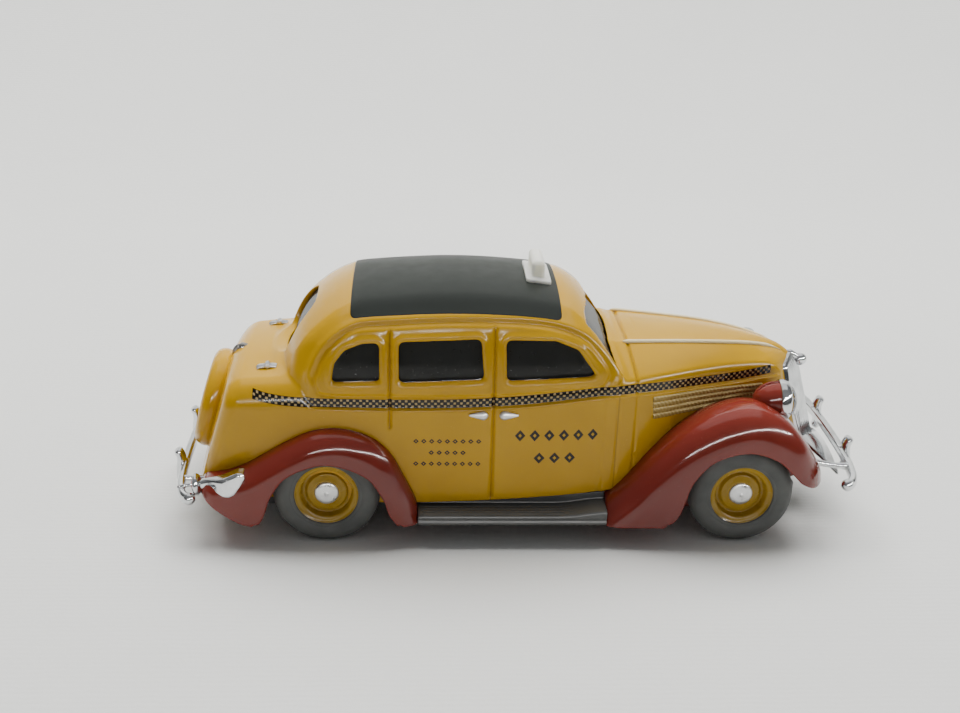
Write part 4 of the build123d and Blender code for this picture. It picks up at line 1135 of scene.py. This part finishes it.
lever = path([(-45.4, 0, 26.2), (-46.1, 0, 26.2), (-46.6, 0, 25.6), (-46.7, 0, 24.6)], closed=False, steps=5)
boss = arc_profile([(0, 0.9), (0.6, 0.8), (0.85, 0.3), (0.85, -0.8), (0, -0.8)], 0.2)
handle = [tube("lever", lever, ellipse(0.55, 0.32, 18), up=(0, 1, 0), angle=60),
          lathe("boss", boss, (-45.3, 0, 26.1), (-1, 0, 0.4), 28, 50)]
dark_chrome = chrome("dark_plating", (0.3, 0.29, 0.28), 0.28)
assign(join("trunk_lever", handle), dark_chrome, "chrome_trim", "trunk_handle")

tilt = math.radians(15)
away, middle = Vector((-math.cos(tilt), 0, math.sin(tilt))), (-50.3, 0, 17.3)
COVER = arc_profile([(0, 1.55), (1.4, 1.55), (1.6, 1.75), (5, 1.85), (5.5, 1.66), (6, 1.85), (7, 1.8),
    (7.8, 1.35), (8.3, 0.5), (8.35, -0.4), (8.1, -1.2), (7.5, -1.7), (6.4, -1.9), (0, -1.9)], 0.5, 6)
assign(lathe("spare_drum", COVER, middle, away, 120, 40), yellow, "yellow_paint", "spare_cover")
boss = arc_profile([(0, 2.25), (0.7, 2.12), (1.05, 1.85), (1.15, 1.5), (0, 1.5)], 0.15)
assign(lathe("spare_boss", boss, middle, away, 40, 50), silver, "silver_trim", "spare_cap")

# ------------------------------------------------------------------ louvres
patch = Field(rounded([(20.5, 20.1), (29.8, 20.5), (38.2, 21.1), (39.6, 23.85), (30, 24.1), (20.2, 24.1)],
    0.3), (10, 10), (46, 32))
patch_low = curve([(18, 20), (20.5, 20.1), (30, 20.5), (38.2, 21.1), (42, 21.4)])
patch_high = curve([(18, 24.1), (20.2, 24.1), (30, 24.1), (39.6, 23.85), (42, 23.8)])


def louvre_form(x, y, z):
    """A skin on the side of the hood, with four rows of fine slanted fins."""
    f = body_form(x, y, z)
    t = (z - patch_low(x)) / (patch_high(x) - patch_low(x))
    row = 1 - np.abs(np.cos(math.pi * 4 * t)) ** 6
    skin = 0.03 + 0.2 * row + 0.05 * wave(x + 0.35 * (z - 20), 0.62) * row
    return np.maximum(rmax(f - skin, patch(x, z), 0.08), np.maximum(-(f + 0.25), 5 - y))


gold = Nodes("gilt_louvre")
gold.set(Metallic=0.2, Specular_IOR_Level=0.3)
hatch = gold.bands("DIAGONAL", 700, 2.5)
gold.base(gold.math("MULTIPLY", hatch, gold.noise(900, 3)), (0.38, 0.27, 0.08), (0.24, 0.155, 0.03))
gold.rough(700, 3, 0.3, 0.7, 0.3, 0.5)
gold.bump(hatch, 0.3, 0.0001)
for side, sign in SIDES:
    rows = one_side("louvre_rows_" + side, louvre_form, sign, ((19.6, 6, 19.4), (40.4, 15.4, 24.8)), 0.17,
                    90000)
    assign(rows, gold, "gold_louvre", "hood_louvres_" + side)

# ------------------------------------------------------------------ roof sign
cream = plastic("cream_moulding", (0.93, 0.92, 0.8), 0.36, bump=0.05)
cream.set(Subsurface_Weight=0.6, Subsurface_Scale=0.004)
cream.b.inputs["Subsurface Radius"].default_value = (1, 0.95, 0.75)


def sign_form(x, y, z):
    """A rounded loaf on a thin foot that follows the roof, with a fine line round the foot."""
    roof = body_form(x, y, z)
    foot = rmax(rmax(np.abs(x - 2.3) - 2, y - 4.7, 0.5), np.maximum(roof - 0.62, -roof), 0.12)
    inner = np.maximum(rmax(np.abs(x - 2.3) - 1.72, y - 4.35, 0.4), np.abs(roof - 0.42))
    loaf = cut(np.abs(x - 2.25) - 1.05, (z - 42.95 + 0.012 * y ** 2, 0.85), (y - 3.7, 0.7))
    return rmin(rmax(foot, -inner, 0.05), np.maximum(loaf, -(roof - 0.05)), 0.15)


sign_piece = solid("roof_sign_moulding", sign_form, (-0.6, 0, 38.4), (5.2, 5.6, 43.4), 0.12, target=90000)
assign(sign_piece, cream, "cream_plastic", "roof_sign")

# ------------------------------------------------------------------ inside and underneath
inside_n = plastic("interior_moulding", (0.035, 0.035, 0.036), 0.55, bump=0.25)


def bench(name, front, depth, high, node):
    """A pleated bench: front is the x of its front edge."""
    back, top = front - depth, 12.2 + high
    view = Field(rounded([(front, 12.3), (front + 0.2, 17.2), (front - 0.6, 17.9), (back + 3, 17.2),
                          (back + 0.9, top), (back - 0.8, top), (back + 0.2, 12.3)],
                         [0.3, 0.9, 0.9, 1.2, 0.8, 0.8, 0.3]), (back - 4, 8), (front + 4, 32))

    def form(x, y, z):
        return rmax(view(x, z) + 0.1 * wave(y, 1.5) ** 4, y - 10.6, 0.7)

    o = solid(name, form, (back - 2, 0, 11.8), (front + 1, 11.4, 27), 0.3, target=50000)
    assign(o, inside_n, "interior_plastic", node)


bench("front_bench", -0.5, 8, 13.6, "front_seat")
bench("rear_bench", -19, 9, 14, "rear_seat")

hub = Vector((6.6, 6, 24.4))
facing = Vector((-1, 0, 0.55)).normalized()
ring_profile = [(3 + 0.24 * math.cos(t), 0.24 * math.sin(t)) for t in np.linspace(0, TURN, 17)]
ring_profile[-1] = ring_profile[0]
column = arc_profile([(0, 0.4), (0.6, 0.3), (0.8, -0.1), (0.45, -0.3), (0.4, -3.2), (0, -3.2)], 0.1)
wheel_parts = [lathe("rim_ring", ring_profile, hub, facing, 64, 80),
               lathe("horn", column, hub, facing, 28, 50)]
across = Vector((0, 1, 0))
upward = facing.cross(across).normalized()
for turn in (90, 210, 330):
    d = upward * math.sin(math.radians(turn)) + across * math.cos(math.radians(turn))
    wheel_parts.append(tube("spoke", [hub + d * r for r in (0.4, 1.3, 2.2, 2.95)], ellipse(0.18, 0.14, 10),
        up=facing, angle=60))
assign(join("steering_ring", wheel_parts), inside_n, "interior_plastic", "steering_wheel")

base_n = plastic("base_plate_paint", (0.018, 0.018, 0.018), 0.45, bump=0.2)
steel = chrome("turned_steel", (0.52, 0.52, 0.52), 0.25)
for node, nodes, slot in (
        ("interior_tub", inside_n, "interior_plastic"), ("dashboard", inside_n, "interior_plastic"),
        ("base_plate", base_n, "black_base"), ("base_screws", steel, "steel"), ("front_axle", steel, "steel"),
        ("rear_axle", steel, "steel")):
    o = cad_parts[node]
    o.data.materials.clear()
    o.data.materials.append(nodes.m)


# ------------------------------------------------------------------ floor, light and camera
floor_n = Nodes("cloth_backdrop")
floor_n.set(Specular_IOR_Level=0.2, Roughness=0.9)
floor_n.base(floor_n.noise(9, 4), (0.73, 0.735, 0.715), (0.8, 0.805, 0.785))
weave = floor_n.math("MULTIPLY", floor_n.bands("Y", 300, 3), 0.25)
floor_n.bump(floor_n.math("ADD", weave, floor_n.noise(700, 5, 0.7)), 0.25, 0.0003)

# flat under the car, and from BEND_Y on curving up behind it
BEND_Y, BEND_R = 150, 260
rows = [(-900, 0), (BEND_Y, 0)]
rows += [(BEND_Y + BEND_R * math.sin(a), BEND_R - BEND_R * math.cos(a)) for a in np.linspace(0.05, 1.25, 24)]
rows.append((rows[-1][0] + 300, rows[-1][1] + 900))
verts = [(x, y, z) for y, z in rows for x in (-1500, 1500)]
faces = [(2 * i, 2 * i + 1, 2 * i + 3, 2 * i + 2) for i in range(len(rows) - 1)]
floor = new_object("backdrop", verts, faces)
floor.data.materials.append(floor_n.m)


def area(name, place, aim, size, power, colour):
    """A rectangular light that looks from place to aim."""
    light = bpy.data.lights.new(name, "AREA")
    light.shape, light.size, light.size_y = "RECTANGLE", size[0], size[1]
    light.energy, light.color = power, colour
    o = in_scene(name, light)
    o.location = place
    o.rotation_mode = "QUATERNION"
    o.rotation_quaternion = (Vector(aim) - Vector(place)).to_track_quat("-Z", "Y")
    return o


area("overhead", (0, 0.28, 0.8), (0, 0.03, 0), (1, 0.6), 14, (1, 0.995, 0.98)).visible_glossy = False
area("overhead_gloss", (0, 0.22, 0.8), (0, 0.03, 0), (1, 0.6), 1.7, (1, 0.995, 0.98))
area("strip", (0.4, -0.56, 0.42), (0.05, 0, 0.01), (2.4, 0.012), 18, (1, 0.99, 0.97)).visible_diffuse = False

world = bpy.data.worlds.new("studio")
world.use_nodes = True
sky = world.node_tree
bg = sky.nodes["Background"]
bg.inputs[0].default_value = (0.86, 0.87, 0.88, 1)
direction, split, rise = [sky.nodes.new("ShaderNode" + k) for k in ("TexCoord", "SeparateXYZ", "MapRange")]
for socket, value in (("From Min", -0.05), ("From Max", 0.75), ("To Min", 0.05), ("To Max", 0.31)):
    rise.inputs[socket].default_value = value
sky.links.new(direction.outputs["Generated"], split.inputs[0])
sky.links.new(split.outputs["Z"], rise.inputs["Value"])
sky.links.new(rise.outputs["Result"], bg.inputs["Strength"])
bpy.context.scene.world = world

# the camera: its turns in degrees, its lens, and its place in metres
yaw, pitch, roll = math.radians(3.37), math.radians(22.76), math.radians(1.76)
ahead = Vector((math.sin(yaw) * math.cos(pitch), math.cos(yaw) * math.cos(pitch), -math.sin(pitch)))
right = Vector((math.cos(yaw), -math.sin(yaw), 0))
above = right.cross(ahead)
right, above = (right * math.cos(roll) + above * math.sin(roll),
                above * math.cos(roll) - right * math.sin(roll))
data = bpy.data.cameras.new("camera")
data.sensor_width, data.lens = 36, 46.47
data.clip_start, data.clip_end = 0.01, 20
camera = in_scene("camera", data)
camera.matrix_world = Matrix(((right.x, above.x, -ahead.x, -0.0176), (right.y, above.y, -ahead.y, -0.1897),
                              (right.z, above.z, -ahead.z, 0.1046), (0, 0, 0, 1)))
bpy.context.scene.camera = camera
